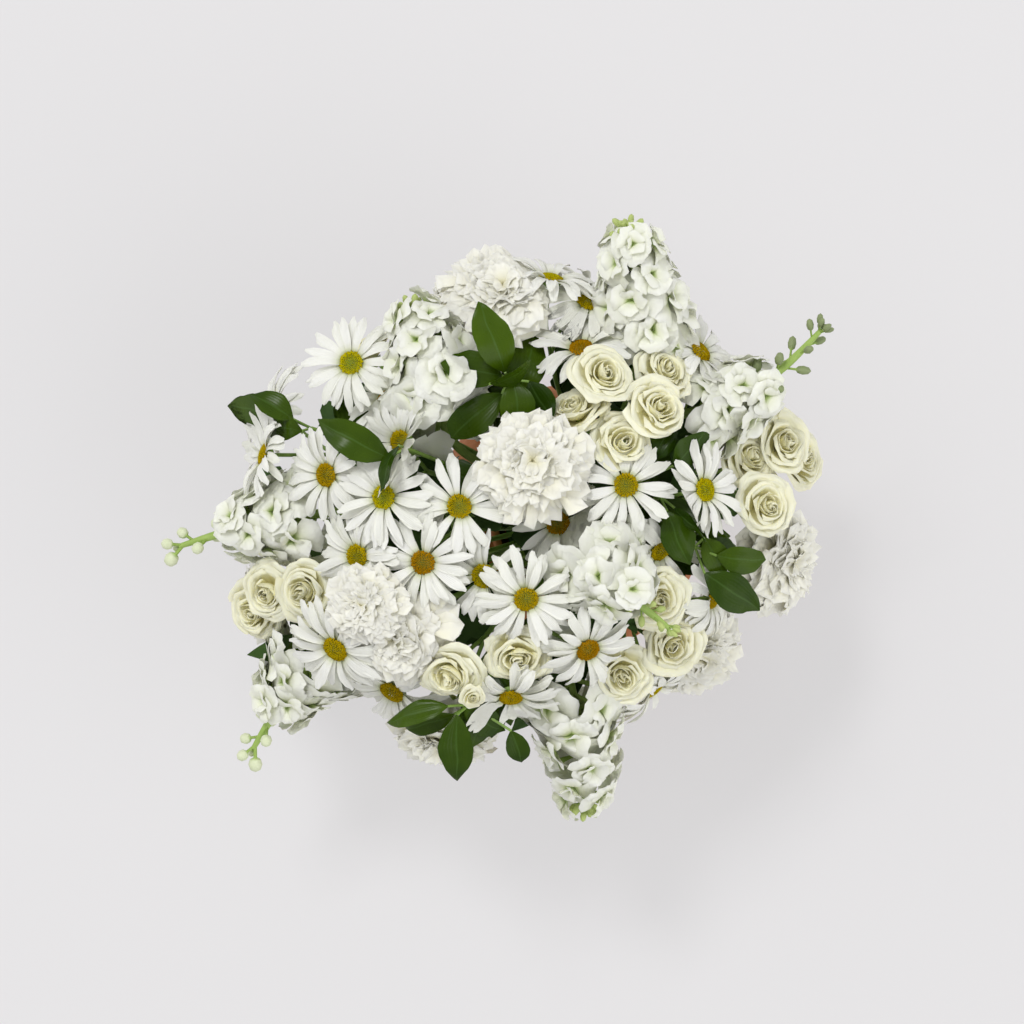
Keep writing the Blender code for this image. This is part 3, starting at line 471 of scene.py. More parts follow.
def thin_petal(name, group, surface, shape, rows, columns, thickness):
    """A closed petal: two skins that meet in a sharp rim, with the surface's points between them."""
    along, across = np.meshgrid(np.linspace(0, 1, rows + 1), np.linspace(-1, 1, columns + 1), indexing="ij")
    middle = np.stack(surface(across, along, *shape), axis=-1)
    normal = np.cross(np.gradient(middle, axis=0), np.gradient(middle, axis=1))
    normal /= np.maximum(np.linalg.norm(normal, axis=-1, keepdims=True), 1e-12)
    inner = np.zeros(along.shape, bool)
    inner[1:-1, 1:-1] = True
    top = middle + normal * inner[..., None] * thickness / 2
    low = (middle - normal * thickness / 2)[inner]
    upper = np.arange(along.size).reshape(along.shape)
    lower = upper.copy()
    lower[inner] = along.size + np.arange(inner.sum())
    faces = []
    for i in range(rows):
        for k in range(columns):
            corners = ((i, k), (i + 1, k), (i + 1, k + 1), (i, k + 1))
            faces.append(tuple(int(upper[c]) for c in corners))
            faces.append(tuple(int(lower[c]) for c in corners[::-1]))
    made = plain_object(name, np.vstack((top.reshape(-1, 3), low)), faces)
    for attribute, values in (("along", along), ("across", across)):
        carry(made.data, attribute, "FLOAT", np.concatenate((values.ravel(), values[inner])))
    rim = {int(n) for n in upper[~inner]}
    sharp = [edge.vertices[0] in rim and edge.vertices[1] in rim for edge in made.data.edges]
    carry(made.data, "sharp_edge", "BOOLEAN", sharp, "EDGE")
    into_group(made, group)


def into_group(made, group):
    """Move a pattern piece out of the scene, into the group that a tree picks from."""
    scene.collection.objects.unlink(made)
    group.objects.link(made)


def petal_group(name, surface, shapes, rows, columns, thickness):
    """A group of closed petals that a tree picks from: one for each shape of the surface."""
    group = bpy.data.collections.new(name)
    for k, shape in enumerate(shapes):
        thin_petal(f"{name}_{k}", group, surface, shape, rows, columns, thickness)
    return group


def input_sockets(tree, sockets):
    """Named inputs for a tree, and its geometry output."""
    for name, kind in sockets:
        tree.interface.new_socket(name, in_out="INPUT", socket_type="NodeSocket" + kind)
    tree.interface.new_socket("Geometry", in_out="OUTPUT", socket_type="NodeSocketGeometry")
    maker = Maker(tree)
    given = tree.nodes.new("NodeGroupInput")
    return maker, {socket.name: Wire(maker, socket) for socket in given.outputs if socket.name}


def field(m, name, kind="FLOAT"):
    """A named value of each point, in a geometry tree."""
    return m.add("GeometryNodeInputNamedAttribute", {"data_type": kind}, {"Name": name})


def set_out(m, points, group, number, rotation, scale, selection=True):
    """One of the group's patterns on each point, in a geometry tree."""
    patterns = m.add("GeometryNodeCollectionInfo", None,
                     {"Collection": group, "Separate Children": True, "Reset Children": True})
    return m.add("GeometryNodeInstanceOnPoints", None, {
        "Points": points, "Selection": selection, "Instance": patterns, "Pick Instance": True,
        "Instance Index": number, "Rotation": rotation, "Scale": scale})


def give_out(m, geometry, material):
    """The end of a geometry tree."""
    done = m.add("GeometryNodeSetMaterial", None, {"Geometry": geometry, "Material": material})
    m.tree.links.new(done.socket, m.tree.nodes.new("NodeGroupOutput").inputs[0])
    return m.tree


def whorl_tree():
    """Petals round each head's axis, a golden angle apart, from the innermost to the outermost.

    Every input named Inner is for the first petal and every Outer one for the last. A root is how far a petal
    starts from the axis (x) and up along it (z). A tilt is how far a petal leans up from level.
    """
    tree = bpy.data.node_groups.new("whorl", "GeometryNodeTree")
    m, given = input_sockets(tree, (
        ("Geometry", "Geometry"), ("Petals", "Collection"), ("Kinds", "Float"), ("Order", "Float"),
        ("Count", "Int"), ("Step", "Float"), ("Inner Root", "Vector"), ("Outer Root", "Vector"),
        ("Inner Tilt", "Float"), ("Outer Tilt", "Float"), ("Inner Size", "Vector"), ("Outer Size", "Vector"),
        ("Spacing", "Float"), ("Unevenness", "Float"), ("Ruffle", "Float"), ("Ruffle Scale", "Float"),
        ("Seed", "Int"), ("Material", "Material"),
    ))
    uneven = given["Unevenness"]

    def chance(low, high, salt):
        seed = given["Seed"] * 7 + salt
        return m.add("FunctionNodeRandomValue", {"data_type": "FLOAT"}, {2: low, 3: high, 8: seed}, out=1)

    def blend(what, share):
        first = given[f"Inner {what}"]
        return first + (given[f"Outer {what}"] - first) * share

    def turned(rotation, axis, angle):
        turn = m.add("FunctionNodeAxisAngleToRotation", None, {"Axis": axis, "Angle": angle})
        return m.add("FunctionNodeRotateRotation", {"rotation_space": "LOCAL"}, {0: rotation, 1: turn})

    def stored(domain, geometry, name, value):
        return m.add("GeometryNodeStoreNamedAttribute", {"data_type": "FLOAT", "domain": domain},
                     {"Geometry": geometry, "Name": name, "Value": value})

    copies = m.add("GeometryNodeDuplicateElements", {"domain": "POINT"},
                   {"Geometry": given["Geometry"], "Amount": given["Count"]})
    number = Wire(m, copies.socket.node.outputs[1])
    share = number / (given["Count"] - 1.0).maths("MAXIMUM", 1.0)
    facing = turned(field(m, "turn", "QUATERNION"), (0.0, 0.0, 1.0),
                    number * given["Step"] + chance(-1.0, 1.0, 1) * uneven)
    size = field(m, "size", "FLOAT_VECTOR")
    root = blend("Root", m.add("ShaderNodeCombineXYZ", None, {0: share**0.5, 2: share}))
    away = m.add("FunctionNodeRotateVector", None, {0: root * size, 1: facing})
    moved = m.add("GeometryNodeSetPosition", None, {"Geometry": copies, "Offset": away})
    tilted = turned(facing, (0.0, -1.0, 0.0), blend("Tilt", share) + chance(-1.0, 1.0, 2) * uneven)
    rolled = turned(tilted, (1.0, 0.0, 0.0), chance(-1.4, 1.4, 3) * uneven)
    scale = blend("Size", share ** given["Spacing"]) * size * (1.0 + chance(-0.5, 0.5, 4) * uneven)
    order = given["Order"]
    pick = (share * order + chance(0.0, 0.999, 5) * (1.0 - order)) * given["Kinds"]
    pick = pick.maths("MINIMUM", given["Kinds"] - 0.5)
    pick = m.add("FunctionNodeFloatToInt", {"rounding_mode": "FLOOR"}, {0: pick})
    petals = set_out(m, stored("POINT", moved, "share", share), given["Petals"], pick, rolled, scale)
    toned = stored("INSTANCE", petals, "tone", chance(0.0, 1.0, 6))
    real = m.add("GeometryNodeRealizeInstances", None, {"Geometry": toned})
    wave = m.add("ShaderNodeTexNoise", None, {
        "Vector": m.add("GeometryNodeInputPosition"), "Scale": given["Ruffle Scale"], "Detail": 1.0}, out=1)
    push = (wave - 0.5) * (given["Ruffle"] * field(m, "along"))
    waved = m.add("GeometryNodeSetPosition", None, {"Geometry": real, "Offset": push})
    return give_out(m, waved, given["Material"])


def grown(name, base, tree, settings):
    """A plain mesh object: what the tree makes of the base mesh with these inputs."""
    carrier = bpy.data.objects.new(name, base)
    scene.collection.objects.link(carrier)
    modifier = carrier.modifiers.new("grow", "NODES")
    modifier.node_group = tree
    for item in tree.interface.items_tree:
        setting = item.name.lower().replace(" ", "_")
        if item.item_type == "SOCKET" and item.in_out == "INPUT" and setting in settings:
            modifier[item.identifier] = settings[setting]
    bpy.context.view_layer.update()
    mesh = bpy.data.meshes.new_from_object(carrier.evaluated_get(bpy.context.evaluated_depsgraph_get()))
    carrier.modifiers.clear()
    carrier.data = mesh
    for spare in ("turn", "size", "pattern", "thick"):
        if spare in mesh.attributes:
            mesh.attributes.remove(mesh.attributes[spare])
    return carrier


def point_mesh(name, placed, edges=()):
    """A mesh of one point for each (place, axes, sizes), which a tree puts its patterns on."""
    mesh = bpy.data.meshes.new(name)
    mesh.from_pydata([tuple(place) for place, _, _ in placed], edges, [])
    carry(mesh, "turn", "QUATERNION", [Matrix(axes.tolist()).to_quaternion()[:] for _, axes, _ in placed])
    carry(mesh, "size", "FLOAT_VECTOR", [sizes for _, _, sizes in placed])
    return mesh


whorl = whorl_tree()
PLAIN_WHORL = dict(
    order=0.0, count=1, step=GOLDEN_ANGLE, inner_root=(0.0,) * 3, outer_root=(0.0,) * 3, inner_tilt=0.0,
    outer_tilt=0.0, inner_size=(1.0,) * 3, outer_size=(1.0,) * 3, spacing=1.0, unevenness=0.0, ruffle=0.0,
    ruffle_scale=1.0,
)


def whorls(name, slot, own, petals, raised=0.0, **shape):
    """One piece: the whorl tree's petals on each of a stem's heads, dressed in place of the stem's solid."""
    placed = [(head.heart + head.facing * raised * head.size, head.axes, head.sizes) for head in own]
    mesh = point_mesh(name, placed)
    carry(mesh, "head", "INT", range(len(own)))
    carry(mesh, "hue", "FLOAT", [head.hue for head in own])
    group = dict(petals=petals, kinds=float(len(petals.objects)))
    piece = grown(name, mesh, whorl, PLAIN_WHORL | group | shape)
    meshes_of_heads.append((piece, own))
    dress(piece, own[0].node)


RAY_ROOT = 0.0062
RAY_LENGTH = DAISY_REACH * 1.05 - RAY_ROOT
RAY_HALF_WIDTH = 0.0036
RAY_THICKNESS = 0.00022
RAYS = 26
RAY_LINES = 21.0
DISC_FLORETS = 170


def ray_surface(across, along, droop, cup, twist):
    """A ray's middle surface: narrow root, widest past its middle, blunt notched tip, two long grooves."""
    half = RAY_HALF_WIDTH * np.interp(along, (0, 0.2, 0.45, 0.7, 0.88, 1), (0.36, 0.66, 0.9, 1.0, 0.92, 0.5))
    notch = 0.014 * np.cos(across * math.pi * 2) * along**6
    x = RAY_LENGTH * (along * (1 - 0.07 * across**2 * along**3) - notch)
    y = half * across
    groove = 0.00045 * np.cos(across * math.pi * 2) * np.sin(np.clip(along, 0, 1) * math.pi)**0.5
    z = RAY_LENGTH * (0.10 * np.sin(along * math.pi) - droop * along**2) + cup * half * across**2 + groove
    return x, y, z + twist * y * along


rays = petal_group("rays", ray_surface, (  # how far each ray droops, curls up at its sides and twists
    (0.14, 0.12, 0.15), (0.02, -0.16, -0.2), (0.24, 0.05, 0.1), (0.10, 0.22, -0.05),
), 6, 4, RAY_THICKNESS)


def turned_pattern(name, group, profile, sides):
    """A small closed turned body whose profile, of (radius, height) points, starts and ends on the axis."""
    angles = [math.tau * k / sides for k in range(sides)]
    points = [(0.0, 0.0, profile[0][1])]
    points += [(r * math.cos(a), r * math.sin(a), z) for r, z in profile[1:-1] for a in angles]
    points.append((0.0, 0.0, profile[-1][1]))
    faces = []
    for k in range(sides):
        after = (k + 1) % sides
        faces.append((0, 1 + after, 1 + k))
        for row in range(len(profile) - 3):
            a, b = 1 + row * sides + k, 1 + row * sides + after
            faces.append((a, b, b + sides, a + sides))
        last = 1 + (len(profile) - 3) * sides
        faces.append((last + k, last + after, len(points) - 1))
    made = plain_object(name, points, faces)
    into_group(made, group)
    return made


disc_florets = bpy.data.collections.new("disc_florets")
turned_pattern("disc_bud", disc_florets, ((0, -0.0016), (0.00042, 0.0002), (0.00050, 0.0006), (0, 0.0011)), 5)
turned_pattern("disc_open", disc_florets, ((0, -0.0016), (0.00040, 0.0002), (0.00062, 0.0010), (0, 0.0006)), 5)

PETAL_WHITE = (0.93, 0.93, 0.87)
# Towards the rays' roots: partly their own olive tint, partly painted shade in the crevices round the disc.
PETAL_ROOT_TINT_AND_SHADE = (0.68, 0.71, 0.44)
RAY_ROOT_GREEN = (0.42, 0.50, 0.16)
PETAL_DEPTH = 0.003  # how far light passes through petals


def petal_finish(name, colour, roughness, bump, bump_depth=0.0002, weight=0.3, tint=(0.5, 0.5, 0.4)):
    """A petal's finish, which lets a little light through."""
    return finish(name, colour, roughness, bump, bump_depth, Subsurface_Weight=weight, Subsurface_Radius=tint,
                  Subsurface_Scale=PETAL_DEPTH)


def ray_colour(m):
    """White, with greener roots, darker towards them as painted shade round the disc, fine lengthwise lines and
    a little difference from ray to ray.
    """
    root = 1.0 - m.rise(m.attribute("along"), 0.0, 0.30)
    # Darker and more olive towards the root: the rays' own tint and painted shade.
    shade = root * 0.8 + m.ribs(RAY_LINES) * 0.06 + m.attribute("tone") * 0.16 + 0.03
    claw = 1.0 - m.rise(m.attribute("along"), 0.03, 0.17)
    return m.mix(claw * 0.85, m.mix(shade, PETAL_WHITE, PETAL_ROOT_TINT_AND_SHADE), RAY_ROOT_GREEN)


daisy_white = petal_finish("daisy_white", ray_colour, 0.5, lambda m: m.ribs(RAY_LINES), 0.00004, weight=0.25)
DISC_MIDDLE = (0.52, 0.52, 0.001)
DISC_MIDDLE_RIPE = (0.48, 0.26, 0.001)
DISC_RIM = (0.62, 0.52, 0.001)
DISC_RIM_RIPE = (0.46, 0.22, 0.001)
# Painted shade in the gaps between the disc florets.
DISC_GAP_SHADE = (0.20, 0.14, 0.002)


def disc_colour(m):
    """Yellow-green in the middle, orange-yellow at the rim and browner on the riper heads, with painted shade
    speckled into the gaps between the florets.
    """
    rim = m.mix(m.attribute("hue"), DISC_RIM, DISC_RIM_RIPE)
    middle = m.mix(m.attribute("hue"), DISC_MIDDLE, DISC_MIDDLE_RIPE)
    body = m.mix(m.attribute("share") * 0.9 + m.attribute("tone") * 0.2, middle, rim)
    # Dark specks: painted shade between the florets.
    gap_shade = m.rise(m.noise(m.place(), 1100.0, 1.0), 0.48, 0.66)
    return m.mix(gap_shade * 0.7, body, DISC_GAP_SHADE)


disc_yellow = finish("disc_yellow", disc_colour, 0.7, Specular_IOR_Level=0.05)

for k, blooms in enumerate(DAISY_SPRAYS):
    own = bloom_heads(f"daisy_spray_{k + 1}", blooms, DAISY_CORE, DAISY_SPIN, flat=True)
    plan_stem(own, DAISY_STEM, blooms, back=DAISY_FORK)
    whorls(
        f"daisy_rays_{k + 1}", "daisy", own, rays, count=RAYS, seed=k, material=daisy_white,
        inner_root=(RAY_ROOT, 0.0, 0.0004), outer_root=(RAY_ROOT, 0.0, -0.0014),
        inner_tilt=0.20, outer_tilt=-0.06, inner_size=(0.90, 0.95, 1.0),
        unevenness=0.17, ruffle=0.008, ruffle_scale=45.0,
    )
    whorls(
        f"daisy_discs_{k + 1}", "daisy", own, disc_florets, count=DISC_FLORETS, seed=k, material=disc_yellow,
        order=1.0, inner_root=(0.0003, 0.0, 0.0026), outer_root=(0.0076, 0.0, 0.0002), outer_tilt=-0.45,
        inner_size=(0.9,) * 3, outer_size=(1.25,) * 3, unevenness=0.06,
    )

# The spray roses. Small cream garden-type roses: broad outer petals with rolled-back lips and, inside, ever
# tighter cups wound in a spiral. Two or three share a stem, each on a green hip with five sepals.
ROSE_CORE = 0.012
ROSE_STEM = 0.0018
ROSE_FORK = 0.055
ROSE_SPIN = 0.9
ROSE_DEPTH = 0.0105  # how far its petals start below its heart
ROSE_PETALS = 25
ROSE_SPRAYS = [
    [(67, 98, 10), (45, 75, -6, 60, 30)],
    [(109, 101, 0), (103, 75, 12), (79, 51, 4)],
    [(193, 53, -4, 0, -30), (210, 44, -22, 0, -30)],
    [(178, 10, -4, 0, -25), (168, 42, -30, 0, -20)],
    [(-38, -104, 2), (8, -92, -2), (-22, -119, 8, 0, 0, 0.38)],
    [(-136, -49, -12, 0, -15), (-162, -49, -14, 0, -20), (-173, -64, -30, 0, -25)],
    [(103, -53, -12, 0, -10), (114, -85, -18, 0, -20), (79, -105, -22, 0, -15)],
    [(-98, 118, -80, 0, 40), (-68, 138, -76, 0, 40)],
    [(172, 60, -84, 0, 40), (186, 20, -78, 0, 40)],
]


def cup_surface(across, along, wrap, radii, heights, lip_drop):
    """A rose petal's middle surface, 1 high and 1 wide, wrapped part of the way round the rose's axis."""
    stations = np.linspace(0, 1, len(radii))
    angle = across * wrap / 2 * np.interp(along, (0, 0.3, 0.7, 1), (0.55, 0.85, 1.0, 0.72))
    reach = np.interp(along, stations, radii) + 0.05 * across**2 * along**2
    height = np.interp(along, stations, heights) - lip_drop * across**2 * along**2
    return reach * np.cos(angle), reach * np.sin(angle), height


rose_cups = petal_group("rose_cups", cup_surface, (  # way round, radii and heights from root to lip, lip's drop
    (3.8, (0.2, 0.75, 0.95, 0.9, 0.72), (0, 0.4, 0.75, 0.95, 1.0), 0.10),
    (3.1, (0.2, 0.8, 1.0, 1.02, 1.08), (0, 0.35, 0.7, 0.94, 0.98), 0.12),
    (2.7, (0.2, 0.75, 0.98, 1.10, 1.26), (0, 0.3, 0.62, 0.86, 0.80), 0.14),
    (2.4, (0.2, 0.7, 1.0, 1.18, 1.30), (0, 0.26, 0.52, 0.70, 0.58), 0.16),
), 6, 8, 0.012)

ROSE_CREAM = (0.97, 0.95, 0.70)
ROSE_DEEP = (0.95, 0.87, 0.36)


def rose_colour(m):
    """Cream, warmer and deeper towards the roots and the heart, paler at the lips."""
    depth = 1.0 - m.attribute("along")
    heart = (1.0 - m.attribute("share")) * 0.12
    return m.mix(depth * depth * 0.7 + heart + m.attribute("tone") * 0.06, ROSE_CREAM, ROSE_DEEP)


rose_cream = petal_finish("rose_cream", rose_colour, 0.5, 260.0, tint=(0.6, 0.5, 0.3))
for k, blooms in enumerate(ROSE_SPRAYS):
    own = bloom_heads(f"rose_spray_{k + 1}", blooms, ROSE_CORE, ROSE_SPIN)
    plan_stem(own, ROSE_STEM, blooms, back=ROSE_FORK)
    whorls(
        f"rose_petals_{k + 1}", "rose", own, rose_cups, -ROSE_DEPTH, count=ROSE_PETALS, seed=k,
        material=rose_cream, order=1.0, inner_size=(0.0018, 0.0018, 0.017), outer_size=(0.0186, 0.0186, 0.0125),
        spacing=1.2, unevenness=0.12, ruffle=0.0080, ruffle_scale=75.0,
    )

# The carnations. White double blooms of about fifty fan-shaped petals with pinked, ruffled edges, packed on a
# slim green calyx. One to a stem.
CARNATION_CORE = 0.014
CARNATION_STEM = 0.0020
CARNATION_PETALS = 54
CARNATIONS = [
    (17, 36, 8), (-3, 153, -6, 0, -15), (-70, -75, -6), (-92, -56, 10, -20, -10, 0.75), (190, -28, -46, 0, -15),
    (130, -90, -64, 0, -10), (-43, -146, -62, 0, 15), (-20, 150, -84, 0, 45), (-160, -60, -80, 0, 25),
]


def fan_surface(across, along, waves, phase, depth):
    """A carnation petal's middle surface, 1 long: a narrow claw, then a wide ruffled fan with a pinked edge."""
    half = np.interp(along, (0, 0.3, 0.6, 0.85, 1), (0.10, 0.20, 0.58, 0.74, 0.70))
    teeth = 0.070 * np.cos(across * math.pi * 5) * along**8
    x = along * (1 - 0.16 * across**2 * along) + teeth
    z = depth * along**1.5 * np.sin(waves * across + phase) + 0.16 * np.sin(along * math.pi) - 0.10 * along**3
    return x, half * across, z


fans = petal_group("fans", fan_surface, (  # waves across each petal, their phase and their depth
    (5.2, 0.3, 0.10), (4.2, 1.6, 0.13), (6.3, 2.7, 0.08), (3.4, 4.4, 0.16),
), 5, 10, 0.014)

CARNATION_WHITE = (0.91, 0.905, 0.83)
# Towards the petals' roots: partly their own cream, partly painted shade in the folds.
CARNATION_CREAM_AND_SHADE = (0.83, 0.78, 0.47)


def carnation_colour(m):
    """White with creamier roots, darker there as painted shade in the folds, so the folds look warm."""
    depth = 1.0 - m.attribute("along")
    return m.mix(depth * 0.9 + m.attribute("tone") * 0.10, CARNATION_WHITE, CARNATION_CREAM_AND_SHADE)


carnation_white = petal_finish("carnation_white", carnation_colour, 0.55, 400.0)
for k, bloom in enumerate(CARNATIONS):
    own = bloom_heads(f"carnation_{k + 1}", [bloom], CARNATION_CORE, 0.0)
    plan_stem(own, CARNATION_STEM, [bloom])
    whorls(
        f"carnation_petals_{k + 1}", "carnation", own, fans, count=CARNATION_PETALS, seed=k,
        material=carnation_white, inner_root=(0.0005, 0.0, 0.002), outer_root=(0.004, 0.0, -0.004),
        inner_tilt=1.30, outer_tilt=-0.10,
        inner_size=(0.017,) * 3, outer_size=(0.0345,) * 3, unevenness=0.18, ruffle=0.013, ruffle_scale=70.0,
    )

# The stocks. Thick pale-green stems whose upper part is packed with crinkled white florets, each on its own
# green tube, and ends in buds that are grey-green, lime or nearly white.
FLORET_TUBE = 0.018
STOCKS = [
    (((92, 122, 196), (90, 150, 226), (82, 194, 256)), 8, "lime"),
    (((122, 72, 196), (170, 90, 206), (213, 128, 224)), 6, "grey"),
    (((-128, 4, 196), (-172, -4, 200), (-222, -18, 186)), 6, "white"),
    (((-128, -92, 168), (-150, -120, 162), (-174, -158, 150)), 6, "white"),
    (((44, -108, 196), (50, -145, 192), (55, -197, 168)), 7, "lime"),
    (((60, -27, 250), (78, -46, 274), (108, -71, 269)), 5, "lime"),
    (((-44, 72, 228), (-48, 106, 246), (-64, 140, 238)), 7, "lime"),
]
SOLID_BUDS = (3, 5, 4, 4, 2, 4, 2)
BUDS = {  # side buds, size of the first and the last, buds at the tip, their size and lean, all buds' fatness
    "lime": (8, 0.9, 0.65, 7, 0.58, 2.0, 1.0),
    "grey": (9, 1.15, 0.80, 9, 0.72, 1.5, 1.0),
    "white": (5, 0.95, 0.75, 3, 1.0, 1.8, 1.6),
}
STRETCH = 1.4  # how much longer the stalks of a spike's first florets are than those of its last
BACK_FLORETS = 3  # florets at the spike's start that lean back
FLORETS_FOR_ONE = 2.5  # how many real florets stand for one floret of the solid
FLOWERING_TIP = 0.91  # the share of its spike that a stock in full flower covers with florets
BUDDED_TIP = 0.88  # the same for a stock with many buds, as a share of its solid's part with florets
MANY_BUDS = 4
FLORET_SIZES = (1.24, 0.48)  # at the spike's start, and how much less at its end
BUDDED_SIZES = (1.15, 0.30)
FLORET_LEAN = 0.5  # how far a floret points on towards the tip
BACK_LEAN = -0.9
BUD_LEAN = 0.9
BUD_RUN = 0.96  # the share of the spike's green end that the side buds stand on
FLORET_SPIN = 0.9
FLORET_CORE = 0.004
FLORET_PETALS = 9
STOCK_RADIUS = 0.0032
SPIKE_STEPS = 40
TIP_BUD_LOSS = 0.2  # how much smaller each of three tip buds is than the one before


def spike_curve(path, count):
    """Points along a smooth curve through the spike's three points."""
    first, middle, last = (np.array((BOUQUET_MIDDLE[0] + x * MM, y * MM, z * MM)) for x, y, z in path)
    bend = 2.0 * middle - 0.5 * (first + last)
    t = np.linspace(0.0, 1.0, count)[:, None]
    return (1 - t) ** 2 * first + 2 * t * (1 - t) * bend + t**2 * last


def blade_surface(across, along, waves, phase, curl):
    """A stock petal's middle surface, 1 long: a short claw and a broad rounded, crinkled blade."""
    half = np.interp(along, (0, 0.2, 0.5, 0.8, 1), (0.09, 0.22, 0.52, 0.64, 0.46))
    x = along * (1 - 0.20 * across**2 * along**2) - 0.04 * np.exp(-(across / 0.3) ** 2) * along**6
    z = 0.07 * along**1.5 * np.sin(waves * across + phase) + 0.14 * np.sin(along * math.pi) - curl * along**2
    return x, half * across, z


blades = petal_group("blades", blade_surface, (  # waves across each petal, their phase and the tip's curl
    (3.6, 0.5, 0.02), (4.8, 2.0, 0.12), (2.8, 4.0, 0.20),
), 5, 8, 0.014)

STOCK_WHITE = (0.92, 0.925, 0.85)
# Towards the petals' claws: partly their own greenish cream, partly painted shade in the florets' hearts.
STOCK_CLAW_AND_SHADE = (0.80, 0.83, 0.56)
STOCK_THROAT = (0.36, 0.50, 0.10)


def stock_colour(m):
    """White, darker and warmer towards the claws as painted shade in the floret's heart, with a green throat.
    """
    throat = 1.0 - m.rise(m.attribute("along"), 0.12, 0.36)
    # Darker towards the claw: the petal's own tint and painted shade.
    body = m.mix((1.0 - m.attribute("along")) * 0.8 + m.attribute("tone") * 0.1, STOCK_WHITE, STOCK_CLAW_AND_SHADE)
    return m.mix(throat * 0.8, body, STOCK_THROAT)


stock_white = petal_finish("stock_white", stock_colour, 0.55, 420.0)


def along_spike(path, share, turn, forward):
    """A place on the spike, and the way outwards there and some way on towards the tip."""
    places = spike_curve(path, SPIKE_STEPS + 1)
    at = min(SPIKE_STEPS - 1, round(share * SPIKE_STEPS))
    course = unit(places[at + 1] - places[at])
    return places[at], unit(axes_along(course, turn)[:, 0] + course * forward)


for k, ((path, florets, bud_kind), solid_buds) in enumerate(zip(STOCKS, SOLID_BUDS)):
    node = f"stock_{k + 1}"
    total = florets + solid_buds
    solid_places = [along_spike(path, n / (total - 1), 0.0, FLORET_LEAN)[0] for n in range(total)]
    budded = solid_buds >= MANY_BUDS
    end = BUDDED_TIP * florets / total if budded else FLOWERING_TIP
    first_size, loss = BUDDED_SIZES if budded else FLORET_SIZES
    many = round(florets * FLORETS_FOR_ONE)
    own = []
    for n in range(-BACK_FLORETS, many):
        share = max(0.0, n / (many - 1))
        place, face = along_spike(path, end * share, GOLDEN_ANGLE * n, FLORET_LEAN if n >= 0 else BACK_LEAN)
        size = first_size - loss * share
        tube = FLORET_TUBE * size * (STRETCH - (STRETCH - 1.0) * share)
        floret = Head(node, place + face * tube, face, axes_along(face, FLORET_SPIN * n), FLORET_CORE, size)
        floret.flat = floret.crowded = True
        floret.tube = tube
        own.append(floret)
    heads.extend(own)
    side, largest, smallest, tip, tip_size, tip_lean, fatness = BUDS[bud_kind]
    buds = []
    for n in range(side):
        share = n / side
        place, face = along_spike(path, end + (1.0 - end) * share * BUD_RUN, GOLDEN_ANGLE * n, BUD_LEAN)
        buds.append((place, face, largest + (smallest - largest) * share, fatness))
    for n in range(tip):
        place, face = along_spike(path, 1.0, GOLDEN_ANGLE * n, tip_lean)
        buds.append((place, face, tip_size * (1.0 - TIP_BUD_LOSS * (n % 3)), fatness))
    stem_plan.append(dict(node=node, heads=own, radius=STOCK_RADIUS, path=path, solid=solid_places, buds=buds,
                          bud_kind=bud_kind, aim=spike_curve(path, 3)[0]))
    whorls(
        f"stock_petals_{k + 1}", "stock", own, blades, count=FLORET_PETALS, seed=k, material=stock_white,
        inner_root=(0.0008, 0.0, 0.001), outer_root=(0.0012, 0.0, 0.0), inner_tilt=1.05,
        inner_size=(0.011,) * 3, outer_size=(0.0205,) * 3, spacing=0.8, unevenness=0.16, ruffle=0.005,
        ruffle_scale=100.0,
    )

# The foliage. Ruscus-like stems with pointed oval leaves, dark green and glossy above, with fine veins that run
# lengthwise from the stalk to the tip.
RUSCUS = [
    [(0, 98, 2, 112, -5, 10, 50, 28), (-2, 96, -6, 170, 0, 0, 42, 25), (-10, 90, 6, 28, 0, 60, 32, 18),
     (6, 92, -2, 278, 5, 0, 36, 26), (16, 92, -8, 305, 5, 20, 32, 22), (-2, 84, -14, 220, 10, 0, 48, 24)],
    [(-76, 41, 7, 152, 5, -10, 54, 24), (-70, 49, 12, 254, -6, 55, 31, 14)],
    [(-147, 69, -14, 168, 10, 0, 50, 24), (-143, 68, -10, 150, 10, 20, 34, 20),
     (-137, 60, -18, 168, 5, 0, 36, 20)],
    [(112, 36, 4, 47, 5, 20, 38, 24), (98, 40, -6, 58, 10, 0, 30, 18), (62, 2, -10, 305, 15, 0, 28, 18)],
    [(108, 6, -4, 294, 10, 10, 40, 22), (113, 8, -4, 324, -4, 40, 33, 16)],
    [(142, -24, -6, 352, 15, 10, 36, 20), (134, -36, -10, 326, 15, 0, 46, 26),
     (134, -12, -14, 300, 15, 0, 30, 20)],
    [(-38, -124, 6, 197, 20, 20, 46, 18), (-34, -130, -4, 195, 20, -20, 38, 16),
     (-32, -130, 2, 268, 20, 0, 48, 24), (-28, -126, -8, 327, 25, 0, 40, 20),
     (4, -142, -18, 290, 30, 0, 26, 16)],
    [(114, 124, -34, 172, -30, 0, 30, 16), (112, 112, -52, 20, 40, 0, 40, 22),
     (97, 146, -62, 85, 40, 0, 44, 24)],
    [(-118, -70, -60, 213, 40, 0, 40, 20), (-100, -88, -70, 245, 40, 0, 34, 20),
     (-124, -58, -72, 204, 46, 0, 30, 18)],
]
STALK_RUN = 0.012
STALK_RISE = 0.009
LEAF_STALK = 0.0009
LEAF_CORE = 0.003
LEAF_VEINS = 34.0
RUSCUS_STEM = 0.0014


